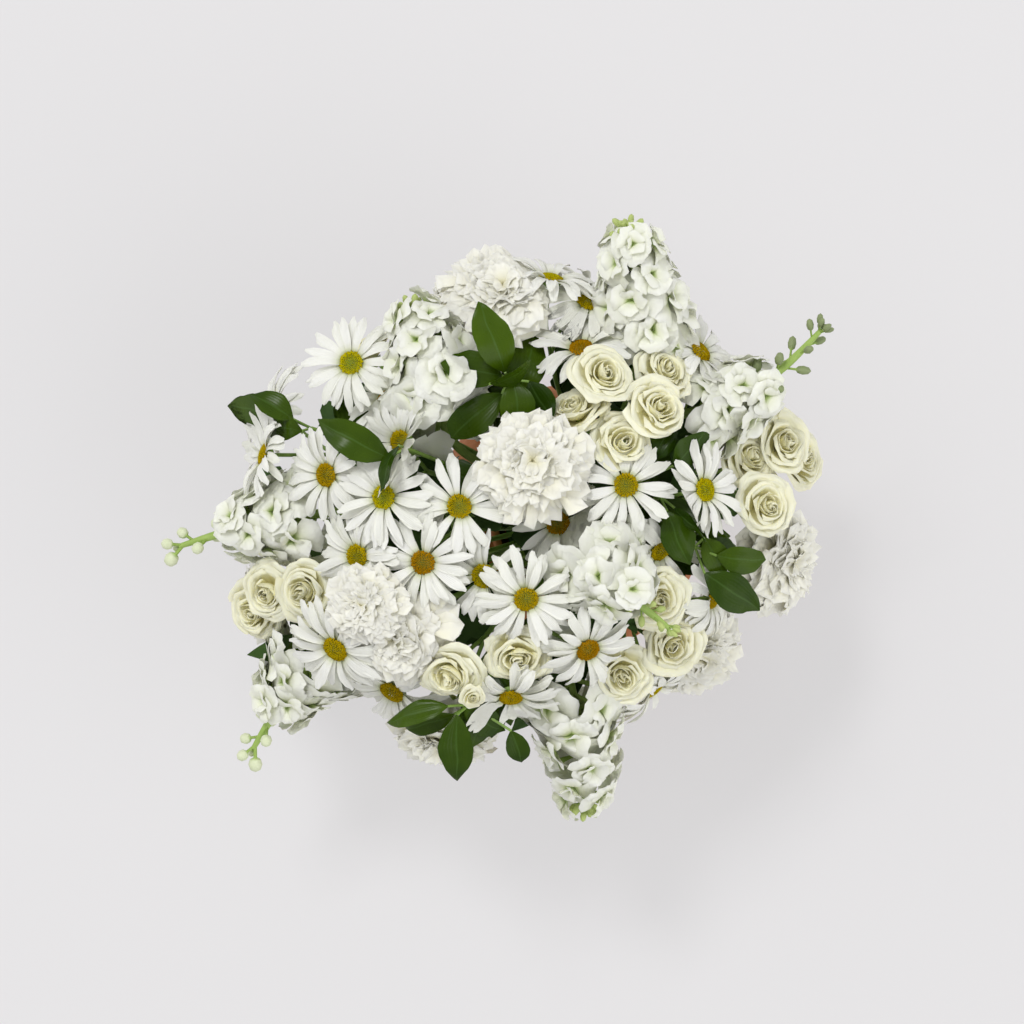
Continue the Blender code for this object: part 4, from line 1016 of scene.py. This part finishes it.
def leaf_axes(heading, droop, roll):
    """The leaf's directions to its tip, to its left and upward, as a matrix's columns."""
    heading, droop, roll = (math.radians(angle) for angle in (heading, droop, roll))
    level = math.cos(droop)
    along = np.array((level * math.cos(heading), level * math.sin(heading), -math.sin(droop)))
    flat = unit(np.cross((0.0, 0.0, 1.0), along))
    side = math.cos(roll) * flat + math.sin(roll) * np.cross(along, flat)
    return np.column_stack((along, side, np.cross(along, side)))


def leaf_surface(across, along):
    """A leaf's middle surface, 1 long and 1 wide: pointed oval, arched, with its edges a little higher."""
    stations = (0, 0.06, 0.2, 0.4, 0.6, 0.8, 0.93, 1)
    half = 0.5 * np.interp(along, stations, (0.07, 0.3, 0.74, 1.0, 0.95, 0.62, 0.24, 0.02))
    edges = (0.012 * across**2 + 0.045 * np.abs(across)) * np.sin(along * math.pi)
    z = 0.10 * (1 - (2 * along - 1) ** 2) + edges
    return along, half * across, z + 0.004 * np.cos(across * math.pi * 4) * np.sin(along * math.pi)


leaf_pattern = petal_group("leaf", leaf_surface, [()], 14, 8, 0.030)

LEAF_GREEN = (0.017, 0.042, 0.001)
# The lighter green: younger leaves, and, in clouds across each leaf, partly painted sheen.
LEAF_YOUNG_AND_SHEEN = (0.066, 0.120, 0.002)
LEAF_RIB = (0.07, 0.14, 0.03)


def leaf_colour(m):
    """Dark green, lighter on some leaves and in clouds that are partly painted sheen, with paler lengthwise
    veins and midrib.
    """
    # Lighter from leaf to leaf, and in clouds that partly paint sheen on the leaf.
    body = m.mix(m.attribute("tone") * 0.5 + m.noise(m.place(), 30.0) * 1.3 - 0.55, LEAF_GREEN, LEAF_YOUNG_AND_SHEEN)
    rib = 1.0 - m.rise(m.attribute("across") * m.attribute("across"), 0.0, 0.006)
    return m.mix(m.ribs(LEAF_VEINS) * 0.03 + rib * 0.40, body, LEAF_RIB)


leaf_green = finish(
    "leaf_green", leaf_colour, lambda m: 0.20 + 0.16 * m.noise(m.place(), 70.0),
    bump=lambda m: m.ribs(LEAF_VEINS), bump_depth=0.00002, Specular_IOR_Level=0.16,
)


def leaf_head(node, root, axes, length, width):
    """A leaf in its place."""
    leaf = Head(node, root, axes[:, 2], axes, LEAF_CORE)
    leaf.sizes = (length, width, length)
    leaf.flat = leaf.is_leaf = True
    heads.append(leaf)
    return leaf


for k, leaves in enumerate(RUSCUS):
    own = [leaf_head(f"ruscus_{k + 1}", on_dome(x, y, lift), leaf_axes(*angles), length * MM, width * MM)
           for x, y, lift, *angles, length, width in leaves]
    whorls(f"ruscus_leaves_{k + 1}", "foliage", own, leaf_pattern, seed=k, material=leaf_green,
           ruffle=0.009, ruffle_scale=45.0)
    plan_stem(own, RUSCUS_STEM, leaves, leaves=True)

# The stems. Every spray, bloom, stock and foliage stem is one cut stem that is pushed into the foam and bends
# clear of its neighbours on its way up. Cups of bracts, hips, calyxes and tubes have their own stem's green.
ENTRY_SHRINK = 0.20
ENTRY_LIMIT = 0.0405
ENTRY_SPACING = 0.0088
STEM_DEPTH = 0.020
FOAM_TOP = 0.111
FOCUS = np.array((0.0, 0.0, -0.010))
STRAIGHT_RUN = 0.004
SPIKE_TAPER = (1.0, 1.0, 0.9, 0.55)
STEM_ROOM = 0.0016
THICKEST_STEM = 0.0032
WIDEST_CORE = 0.022
EASE = 0.30
SPREAD_ROUNDS = 80
FOAM_ROUNDS = 300
STEM_PULL = 0.4  # how straight a stem leaves the foam, and how straight it meets its end
STEM_PUSH = 0.3
STEM_POINTS = 5
BRANCH_PULL = 0.35
BRANCH_PUSH = 0.4
BRANCH_POINTS = 3
BRANCH_SHARE = 0.8  # a branch's radius as a share of its stem's
FORK_TURN = 0.05
LINE_SHARES = (0.0, 0.25, 0.5, 0.75)


def bezier(start, pull, push, end, count):
    """Points along the cubic curve from start to end."""
    t = np.linspace(0.0, 1.0, count)[:, None]
    rest = 1.0 - t
    return rest**3 * start + 3 * rest**2 * t * pull + 3 * rest * t**2 * push + t**3 * end


def foam_entries(targets):
    """Where each stem enters the foam: below what it carries, and no two closer than the spacing."""
    places = np.array([target[:2] for target in targets]) - np.array(BOUQUET_MIDDLE)
    places *= ENTRY_SHRINK
    for _ in range(FOAM_ROUNDS):
        for a in range(len(places)):
            for b in range(a):
                apart = places[a] - places[b]
                distance = max(1e-6, np.linalg.norm(apart))
                if distance < ENTRY_SPACING:
                    push = apart / distance * (ENTRY_SPACING - distance) * 0.5
                    places[a] += push
                    places[b] -= push
            radius = np.linalg.norm(places[a])
            if radius > ENTRY_LIMIT:
                places[a] *= ENTRY_LIMIT / radius
    return [np.array((x, y, FOAM_TOP)) for x, y in places]


class Stem:
    """A stem or branch: points along its middle, its radius, and which points stay where they are."""

    def __init__(self, node, points, radius, held):
        self.node, self.points, self.radius = node, points, radius
        self.held = np.zeros(len(points), bool)
        self.held[held] = True
        self.taper = [1.0] * len(points)


def main_stem(node, entry, end, facing, radius):
    """A stem: straight through the foam, then in one curve to the end, which it meets from behind."""
    direction = unit(entry - FOCUS)
    out = entry + direction * STRAIGHT_RUN
    span = np.linalg.norm(end - out)
    curve = bezier(out, out + direction * span * STEM_PULL, end - facing * span * STEM_PUSH, end, STEM_POINTS)
    return Stem(node, np.vstack(((entry - direction * STEM_DEPTH)[None], curve)), radius, [0, 1, -1])


def stems_of(plan, entry):
    """All stems of one node."""
    node, own, radius = plan["node"], plan["heads"], plan["radius"]
    if "path" in plan:
        curve = spike_curve(plan["path"], STEM_POINTS)
        lead = main_stem(node, entry, curve[0], unit(curve[1] - curve[0]), radius)
        points = np.vstack((lead.points, curve[1:]))
        stem = Stem(node, points, radius, [0, 1] + list(range(len(lead.points) - 1, len(points))))
        stem.taper[-4:] = SPIKE_TAPER
        return [stem]
    if "leaves" in plan:
        behind = [head.heart - head.axes[:, 0] * STALK_RUN for head in own]
        fork = sum(behind) / len(behind) - np.array((0.0, 0.0, STALK_RISE))
        direction = unit(fork - entry)
        stalks = [Stem(node, np.array((fork, head.heart)), LEAF_STALK, [0, 1]) for head in own]
        return [main_stem(node, entry, fork, direction, radius)] + stalks
    if len(own) == 1:
        return [main_stem(node, entry, own[0].heart, own[0].facing, radius)]
    facing = unit(sum(head.facing for head in own))
    fork = sum(head.heart for head in own) / len(own) - facing * plan["back"]
    stems = [main_stem(node, entry, fork, unit(fork - entry + FORK_TURN * facing), radius)]
    leaving = unit(stems[0].points[-1] - stems[0].points[-2])
    for head in own:
        span = np.linalg.norm(head.heart - fork)
        pull, push = fork + leaving * span * BRANCH_PULL, head.heart - head.facing * span * BRANCH_PUSH
        points = bezier(fork, pull, push, head.heart, BRANCH_POINTS)
        stems.append(Stem(node, points, radius * BRANCH_SHARE, [0, -1]))
    return stems


def bowl_distance(point):
    """How far a point is outside the bowl, and the direction straight away from it."""
    radius = math.hypot(point[0], point[1])
    here = np.array((radius, point[2]))
    distance, offset = min(((np.linalg.norm(o), tuple(o)) for o in (
        here - (a + np.clip(np.dot(here - a, b - a) / np.dot(b - a, b - a), 0.0, 1.0) * (b - a))
        for a, b in zip(BOWL_LINE, BOWL_LINE[1:]))), key=lambda found: found[0])
    away = np.array((offset[0] * point[0] / radius, offset[0] * point[1] / radius, offset[1]))
    return distance, away / max(distance, 1e-9)


BOWL_LINE = [np.array(corner) for corner in bowl_outline(3) + [(BOWL_MOUTH_RADIUS, BOWL_HEIGHT)]]


def tree_of(places):
    """The places, ready to be searched."""
    tree = KDTree(len(places))
    for number, place in enumerate(places):
        tree.insert(place, number)
    tree.balance()
    return tree


def spread(stems, cores):
    """Bend stems clear of each other, of other stems' heads and of the bowl's lip, a little at a time."""
    hearts = tree_of([heart for _, heart, _ in cores])
    for _ in range(SPREAD_ROUNDS):
        samples = [(stem, k, share, stem.points[k] * (1 - share) + stem.points[k + 1] * share)
                   for stem in stems for k in range(len(stem.points) - 1) for share in LINE_SHARES]
        tree = tree_of([sample[3] for sample in samples])
        moves = {id(stem): np.zeros_like(stem.points) for stem in stems}
        for stem, k, share, place in samples:
            total = np.zeros(3)
            for _, number, distance in tree.find_range(place, 2 * THICKEST_STEM + STEM_ROOM):
                other = samples[number]
                need = stem.radius + other[0].radius + STEM_ROOM - distance
                if other[0].node != stem.node and need > 0 and distance > 1e-6:
                    total += (place - other[3]) / distance * need * EASE
            for _, number, distance in hearts.find_range(place, WIDEST_CORE):
                node, heart, core = cores[number]
                need = core + stem.radius + STEM_ROOM - distance
                if node != stem.node and need > 0:
                    total += (place - heart) / distance * need * EASE
            if place[2] < BOWL_HEIGHT + WIDEST_CORE:
                distance, away = bowl_distance(place)
                need = stem.radius + STEM_ROOM - distance
                if need > 0:
                    total += away * need * EASE
            moves[id(stem)][k] += total * (1 - share)
            moves[id(stem)][k + 1] += total * share
        for stem in stems:
            free = ~stem.held
            stem.points[free] += moves[id(stem)][free]


entries = foam_entries([plan["aim"] for plan in stem_plan])
stems = []
cores = []
for plan, entry in zip(stem_plan, entries):
    plan["stems"] = stems_of(plan, entry)
    stems += plan["stems"]
    if "solid" in plan:
        cores += [(plan["node"], place, FLORET_CORE) for place in plan["solid"]]
    else:
        cores += [(head.node, head.heart, head.core) for head in plan["heads"]]
spread([stem for stem in stems if stem.radius != LEAF_STALK], cores)


def stalk_tree():
    """Round stems along the mesh's edges, and a green pattern piece on each of its loose points."""
    tree = bpy.data.node_groups.new("stalks", "GeometryNodeTree")
    m, given = input_sockets(tree, (
        ("Geometry", "Geometry"), ("Patterns", "Collection"), ("Sides", "Int"), ("Spacing", "Float"),
        ("Material", "Material"),
    ))
    course = m.add("GeometryNodeMeshToCurve", None, {"Mesh": given["Geometry"]})
    smooth = m.add("GeometryNodeCurveSplineType", {"spline_type": "CATMULL_ROM"}, {"Curve": course})
    even = m.add("GeometryNodeResampleCurve", {"mode": "LENGTH"}, {"Curve": smooth, "Length": given["Spacing"]})
    section = m.add("GeometryNodeCurvePrimitiveCircle", None, {"Resolution": given["Sides"], "Radius": 1.0})
    rods = m.add("GeometryNodeCurveToMesh", None, {
        "Curve": even, "Profile Curve": section, "Scale": field(m, "thick"), "Fill Caps": True})
    pattern = field(m, "pattern", "INT")
    cups = set_out(m, given["Geometry"], given["Patterns"], pattern, field(m, "turn", "QUATERNION"),
                   field(m, "size", "FLOAT_VECTOR"), pattern.maths("GREATER_THAN", -0.5))
    both = tree.nodes.new("GeometryNodeJoinGeometry")
    tree.links.new(rods.socket, both.inputs[0])
    tree.links.new(cups.socket, both.inputs[0])
    real = m.add("GeometryNodeRealizeInstances", None, {"Geometry": Wire(m, both.outputs[0])})
    smoothed = m.add("GeometryNodeSetShadeSmooth", None, {"Geometry": real})
    return give_out(m, smoothed, given["Material"])


def pointed_cup(name, group, profile, sides, points_out):
    """A turned green cup under a head, whose top edge stands out in points."""
    made = turned_pattern(name, group, profile, sides)
    for k, vertex in enumerate(made.data.vertices):
        if k > (len(profile) - 4) * sides and k <= (len(profile) - 3) * sides and k % 2 == 0:
            vertex.co.x *= points_out
            vertex.co.y *= points_out
            vertex.co.z += 0.001


BUD_STALK = 0.0095  # how far up a stock's bud its green stalk ends
greens = bpy.data.collections.new("greens")
pointed_cup("a_daisy_cup", greens, (
    (0, -0.0075), (0.0017, -0.0072), (0.0052, -0.0052), (0.0082, -0.0022), (0, -0.0012)), 16, 1.12)
pointed_cup("b_rose_hip", greens, (
    (0, -0.0162), (0.0024, -0.0157), (0.0044, -0.0137), (0.0050, -0.0114), (0.0068, -0.0104), (0, -0.0106),
), 10, 1.35)
pointed_cup("c_calyx", greens, (
    (0, -0.0290), (0.0030, -0.0285), (0.0062, -0.0240), (0.0070, -0.0100), (0.0084, -0.0010), (0, -0.0020),
), 10, 1.12)
pointed_cup("d_floret_tube", greens, (
    (0, 0.0), (0.0011, 0.0005), (0.0015, 0.0110), (0.0024, 0.0170), (0, 0.0182)), 8, 1.1)
bud = turned_pattern("e_stock_bud", greens, (
    (0, 0.0), (0.0008, 0.0008), (0.0008, 0.0088), (0.0024, 0.0102), (0.0031, 0.0138), (0.0023, 0.0176),
    (0, 0.0194),
), 8)
carry(bud.data, "ripe", "FLOAT", [vertex.co.z > BUD_STALK for vertex in bud.data.vertices])

STEM_GREEN = (0.12, 0.24, 0.035)
STEM_PALE = (0.30, 0.44, 0.09)
BUD_GREY = (0.22, 0.25, 0.14)
BUD_LIME = (0.50, 0.58, 0.20)
BUD_WHITE = (0.80, 0.83, 0.62)
STOCK_STEM = (0.26, 0.41, 0.06)
STOCK_STEM_PALE = (0.42, 0.56, 0.16)


def stem_colour(m):
    """Mid green with paler streaks and patches."""
    stretched = m.add("ShaderNodeMapping", None, {"Vector": m.place(), "Scale": (1.0, 1.0, 0.2)})
    return m.mix(m.noise(stretched, 160.0, 4.0), STEM_GREEN, STEM_PALE)


stem_green = finish("stem_green", stem_colour, 0.45, 600.0)


def spike_colour(bud):
    """Pale yellow-green stems whose buds have a colour of their own, darker in streaks."""
    return lambda m: m.mix(
        m.attribute("ripe") * (0.98 - 0.35 * m.noise(m.place(), 330.0)),
        m.mix(m.noise(m.place(), 140.0, 4.0), STOCK_STEM, STOCK_STEM_PALE), bud)


stock_greens = {kind: finish(f"stock_{kind}", spike_colour(bud), 0.6, 900.0, 0.0003)
                for kind, bud in (("grey", BUD_GREY), ("lime", BUD_LIME), ("white", BUD_WHITE))}
stalks = stalk_tree()
STEM_SIDES = 8
STEM_SPACING = 0.006  # from ring to ring along a stem
PATTERN_OF = {"daisy": 0, "rose": 1, "carnation": 2}
TUBE_PATTERN = 3
BUD_PATTERN = 4
SLOT_OF = {"daisy": "daisy", "rose": "rose", "carnation": "carnation", "stock": "stock", "ruscus": "foliage"}
for plan in stem_plan:
    node = plan["node"]
    kind = node.split("_")[0]
    placed, edges, thick = [], [], []
    for stem in plan["stems"]:
        first = len(placed)
        placed += [(point, np.eye(3), (1.0,) * 3) for point in stem.points]
        edges += [(n, n + 1) for n in range(first, len(placed) - 1)]
        thick += [stem.radius * share for share in stem.taper]
    patterns = [-1] * len(placed)
    if kind in PATTERN_OF:
        placed += [(head.heart, head.axes, head.sizes) for head in plan["heads"]]
        patterns += [PATTERN_OF[kind]] * len(plan["heads"])
    elif kind == "stock":
        placed += [(head.heart - head.facing * head.tube, head.axes,
                    (head.size, head.size, head.tube / FLORET_TUBE)) for head in plan["heads"]]
        placed += [(place, axes_along(face), (size * fatness, size * fatness, size))
                   for place, face, size, fatness in plan["buds"]]
        patterns += [TUBE_PATTERN] * len(plan["heads"]) + [BUD_PATTERN] * len(plan["buds"])
    mesh = point_mesh(node, placed, edges)
    carry(mesh, "pattern", "INT", patterns)
    carry(mesh, "thick", "FLOAT", thick + [MM] * (len(placed) - len(thick)))
    material = stock_greens[plan["bud_kind"]] if kind == "stock" else stem_green
    piece = grown(f"{node}_stems", mesh, stalks, dict(
        patterns=greens, sides=STEM_SIDES, spacing=STEM_SPACING, material=material))
    dress(piece, node)

# Leaves along the stems. Below the blooms the foliage stems carry more of their leaves, the daisy stems lobed
# ones and the stocks long narrow ones. They close the bouquet's depth, so that no floor shows through it.
LEAF_HEADINGS = 10
GLIMPSES = ((-0.070, 0.047), (-0.048, -0.015))  # where the photograph shows the bowl between the flowers
GLIMPSE_REACH = 0.017
MARK_SHARES = (0.0, 0.33, 0.67)
LEAF_MARKS = (0.3, 0.6, 0.95)
LEAF_MIDDLE = 0.6
LEAF_KINDS = {  # leaves on a stem, shares of the stem that they stand on, length, width, droop
    "daisy": (4, 0.45, 0.88, 0.046, 0.032, 5.0),
    "ruscus": (8, 0.35, 0.85, 0.046, 0.026, 0.0),
    "rose": (4, 0.45, 0.85, 0.040, 0.024, 5.0),
    "stock": (5, 0.45, 0.92, 0.060, 0.020, 5.0),
}


def lobed_surface(across, along):
    """A daisy stem's leaf, 1 long and 1 wide: blunt lobes that point forwards."""
    half = 0.5 * np.interp(along, (0, 0.1, 0.25, 0.45, 0.7, 0.9, 1), (0.06, 0.22, 0.62, 0.95, 0.9, 0.55, 0.15))
    half = half * (0.80 + 0.20 * np.cos(along * math.pi * 6.0))
    return along, half * across, 0.10 * np.sin(along * math.pi) + 0.05 * across**2 - 0.10 * along**2


lobed_pattern = petal_group("lobed_leaf", lobed_surface, [()], 16, 4, 0.014)
DULL_GREEN = (0.022, 0.058, 0.010)
DULL_PALE = (0.070, 0.135, 0.030)


def dull_colour(m):
    """Matt green in clouds, a little different from leaf to leaf."""
    return m.mix(m.noise(m.place(), 80.0, 4.0) * 0.7 + m.attribute("tone") * 0.3, DULL_GREEN, DULL_PALE)


dull_green = finish("dull_green", dull_colour, 0.6, 500.0, Specular_IOR_Level=0.2)
stem_marks = np.vstack([stem.points[:-1] * (1 - t) + stem.points[1:] * t
                        for stem in stems for t in MARK_SHARES])
mark_nodes = [stem.node for stem in stems for _ in MARK_SHARES for _ in stem.points[1:]]


def clear_axes(node, root, course, turn, length, droop):
    """Axes for a leaf that leaves the stem sideways, in the direction that has the most room."""
    others = stem_marks[[name != node for name in mark_nodes]]
    best = None
    for n in range(LEAF_HEADINGS):
        outward = axes_along(course, turn + math.tau * n / LEAF_HEADINGS)[:, 0]
        heading = math.degrees(math.atan2(outward[1], outward[0]))
        axes = leaf_axes(heading, droop, 0.0)
        middle = root + np.outer(LEAF_MARKS, axes[:, 0]) * length
        room = np.linalg.norm(middle[:, None] - others[None], axis=-1).min()
        if best is None or room > best[0]:
            best = (room, axes)
    return best[1]


for k, plan in enumerate(stem_plan):
    kind = plan["node"].split("_")[0]
    if kind not in LEAF_KINDS:
        continue
    number, low, high, length, width, droop = LEAF_KINDS[kind]
    line = plan["stems"][0].points[1:6]
    own = []
    for n in range(number):
        at = (low + (high - low) * n / (number - 1)) * (len(line) - 1)
        step = min(int(at), len(line) - 2)
        root = line[step] * (1 - at + step) + line[step + 1] * (at - step)
        course = unit(line[step + 1] - line[step])
        axes = clear_axes(plan["node"], root, course, GOLDEN_ANGLE * n + k, length, droop)
        over = root[:2] + axes[:2, 0] * length * LEAF_MIDDLE
        if min(math.dist(over, glimpse) for glimpse in GLIMPSES) >= GLIMPSE_REACH:
            own.append(leaf_head(plan["node"], root, axes, length, width))
    if own:
        whorls(
            f"{plan['node']}_low_leaves", SLOT_OF[kind], own,
            lobed_pattern if kind in ("daisy", "rose") else leaf_pattern, seed=k,
            material=leaf_green if kind == "ruscus" else dull_green, ruffle=0.006, ruffle_scale=40.0,
        )

# How the blooms press against each other. Where two heads of different stems would pass through each other, a
# flat wall stands between them, and the petals are drawn in, or the leaf bent back, to their own side of it.
WALL_GAP = 0.0004
SOFT_SHARE = 0.72
LEAST_LEAN = 0.3
RADIAL_COST = 2.5
INTERLEAVING = 1.35  # petals of two blooms reach into each other's gaps this much past the wall
WALL_SLOPES = (0.0, 0.5, 1.2, 2.5)


def cost_of(head, normal, room, reach):
    """How far a head's points have to move to stay behind a wall. A flat head bends along its face."""
    lean = abs(normal.dot(head.facing))
    if head.flat and lean >= LEAST_LEAN:
        return max(0.0, reach - room) / lean
    return RADIAL_COST * max(0.0, reach - room)


def part_heads(first, second):
    """Put a wall between two heads that would cross: the one that moves their points least."""
    offset = second.heart - first.heart
    up = unit(first.facing + second.facing + 1e-6)
    if offset.dot(up) < 0:
        up = -up
    level = offset - up * offset.dot(up)
    interleave = 1.0 if first.is_leaf or second.is_leaf else INTERLEAVING
    normals = [unit(offset)]
    if np.linalg.norm(level) > 1e-6:
        normals += [unit(unit(level) + steep * up) for steep in WALL_SLOPES]
    best = None
    for normal in normals:
        room = offset.dot(normal) - WALL_GAP
        reach_first = max(first.core, (first.cloud @ normal).max())
        reach_second = max(second.core, (second.cloud @ -normal).max())
        if room * interleave >= reach_first + reach_second:
            return
        if room <= 0:
            continue
        share = min(1.0, room * interleave / (reach_first + reach_second))
        rooms = (reach_first * share, reach_second * share)
        cost = cost_of(first, normal, rooms[0], reach_first) + cost_of(second, normal, rooms[1], reach_second)
        if best is None or cost < best[0]:
            best = (cost, normal, rooms)
    _, normal, rooms = best
    first.walls.append((normal, rooms[0]))
    second.walls.append((-normal, rooms[1]))


def wall_from(head, points, margin):
    """A wall that parts a head from some points with the least moving, where it needs one."""
    centre = unit(points.mean(axis=0) - head.heart)
    face = head.facing if head.facing.dot(centre) >= 0 else -head.facing
    best = None
    for normal in (centre, face, unit(face + centre), unit(3 * face + centre)):
        room = ((points - head.heart) @ normal).min() - margin
        reach = (head.cloud @ normal).max()
        if room >= reach:
            return
        cost = cost_of(head, normal, room, reach)
        if room > 0 and (best is None or cost < best[0]):
            best = (cost, normal, room)
    if best:
        head.walls.append(best[1:])


def press(share):
    """A share of the room to a wall, eased so that it never passes the wall."""
    left = 1 - SOFT_SHARE
    past = np.maximum(share - SOFT_SHARE, 0.0)
    return np.where(past > 0, SOFT_SHARE + left * (1 - np.exp(-past / left)), share)


piece_points = []
for piece, own in meshes_of_heads:
    points = np.empty(len(piece.data.vertices) * 3, np.float32)
    piece.data.vertices.foreach_get("co", points)
    points = points.reshape(-1, 3).astype(float)
    numbers = np.empty(len(points), np.int32)
    piece.data.attributes["head"].data.foreach_get("value", numbers)
    for n, head in enumerate(own):
        head.parts.append((points, np.flatnonzero(numbers == n)))
    piece_points.append((piece, points))
for head in heads:
    head.cloud = head.local()
    head.extent = np.linalg.norm(head.cloud, axis=1).max()
for a, first in enumerate(heads):
    for second in heads[:a]:
        near = np.linalg.norm(first.heart - second.heart) < first.extent + second.extent
        if near and (first.node != second.node or first.crowded and second.crowded):
            part_heads(first, second)
    for stem in stems:
        if stem.node != first.node:
            for start, end in zip(stem.points, stem.points[1:]):
                run = end - start
                share = np.clip((first.heart - start).dot(run) / run.dot(run), 0.0, 1.0)
                if np.linalg.norm(start + share * run - first.heart) < first.extent + stem.radius:
                    wall_from(first, np.array((start, end)), stem.radius + WALL_GAP)
    distance, away = bowl_distance(first.heart)
    if distance < first.extent + WALL_GAP:
        first.walls.append((-away, distance - WALL_GAP))
for head in heads:
    if not head.walls:
        continue
    cloud = head.cloud.copy()
    inward = []
    for normal, room in head.walls:
        lean = normal.dot(head.facing)
        if head.flat and abs(lean) >= LEAST_LEAN:
            share = cloud @ normal / room
            cloud += np.outer((press(share) - share) * room / lean, head.facing)
        else:
            inward.append((normal, room))
    if inward:
        share = np.maximum(np.max([cloud @ normal / room for normal, room in inward], axis=0), SOFT_SHARE)
        cloud *= (press(share) / share)[:, None]
    at = 0
    for points, chosen in head.parts:
        points[chosen] = head.heart + cloud[at:at + len(chosen)]
        at += len(chosen)
for piece, points in piece_points:
    piece.data.vertices.foreach_set("co", points.astype(np.float32).ravel())
    piece.data.attributes.remove(piece.data.attributes["head"])
    piece.data.update()

# The glimpses of the bowl. The photograph shows its terracotta in two small gaps between the flowers. The few
# rays, florets and leaves that would hide these gaps from above have dropped off, each of them whole.
GLIMPSE_CLEAR = 0.005
for piece, points in piece_points:
    over = np.min([np.linalg.norm(points[:, :2] - glimpse, axis=1) for glimpse in GLIMPSES], axis=0)
    if over.min() > GLIMPSE_CLEAR:
        continue
    form = bmesh.new()
    form.from_mesh(piece.data)
    form.verts.ensure_lookup_table()
    dropped, ahead = set(), [form.verts[n] for n in np.flatnonzero(over < GLIMPSE_CLEAR)]
    while ahead:
        vert = ahead.pop()
        if vert not in dropped:
            dropped.add(vert)
            ahead += [edge.other_vert(vert) for edge in vert.link_edges]
    bmesh.ops.delete(form, geom=list(dropped), context="VERTS")
    form.to_mesh(piece.data)
    form.free()

for group in (rays, disc_florets, rose_cups, fans, blades, leaf_pattern, lobed_pattern, greens):
    for pattern in list(group.objects):
        bpy.data.objects.remove(pattern)
    bpy.data.collections.remove(group)
for tree in (whorl, stalks):
    bpy.data.node_groups.remove(tree)
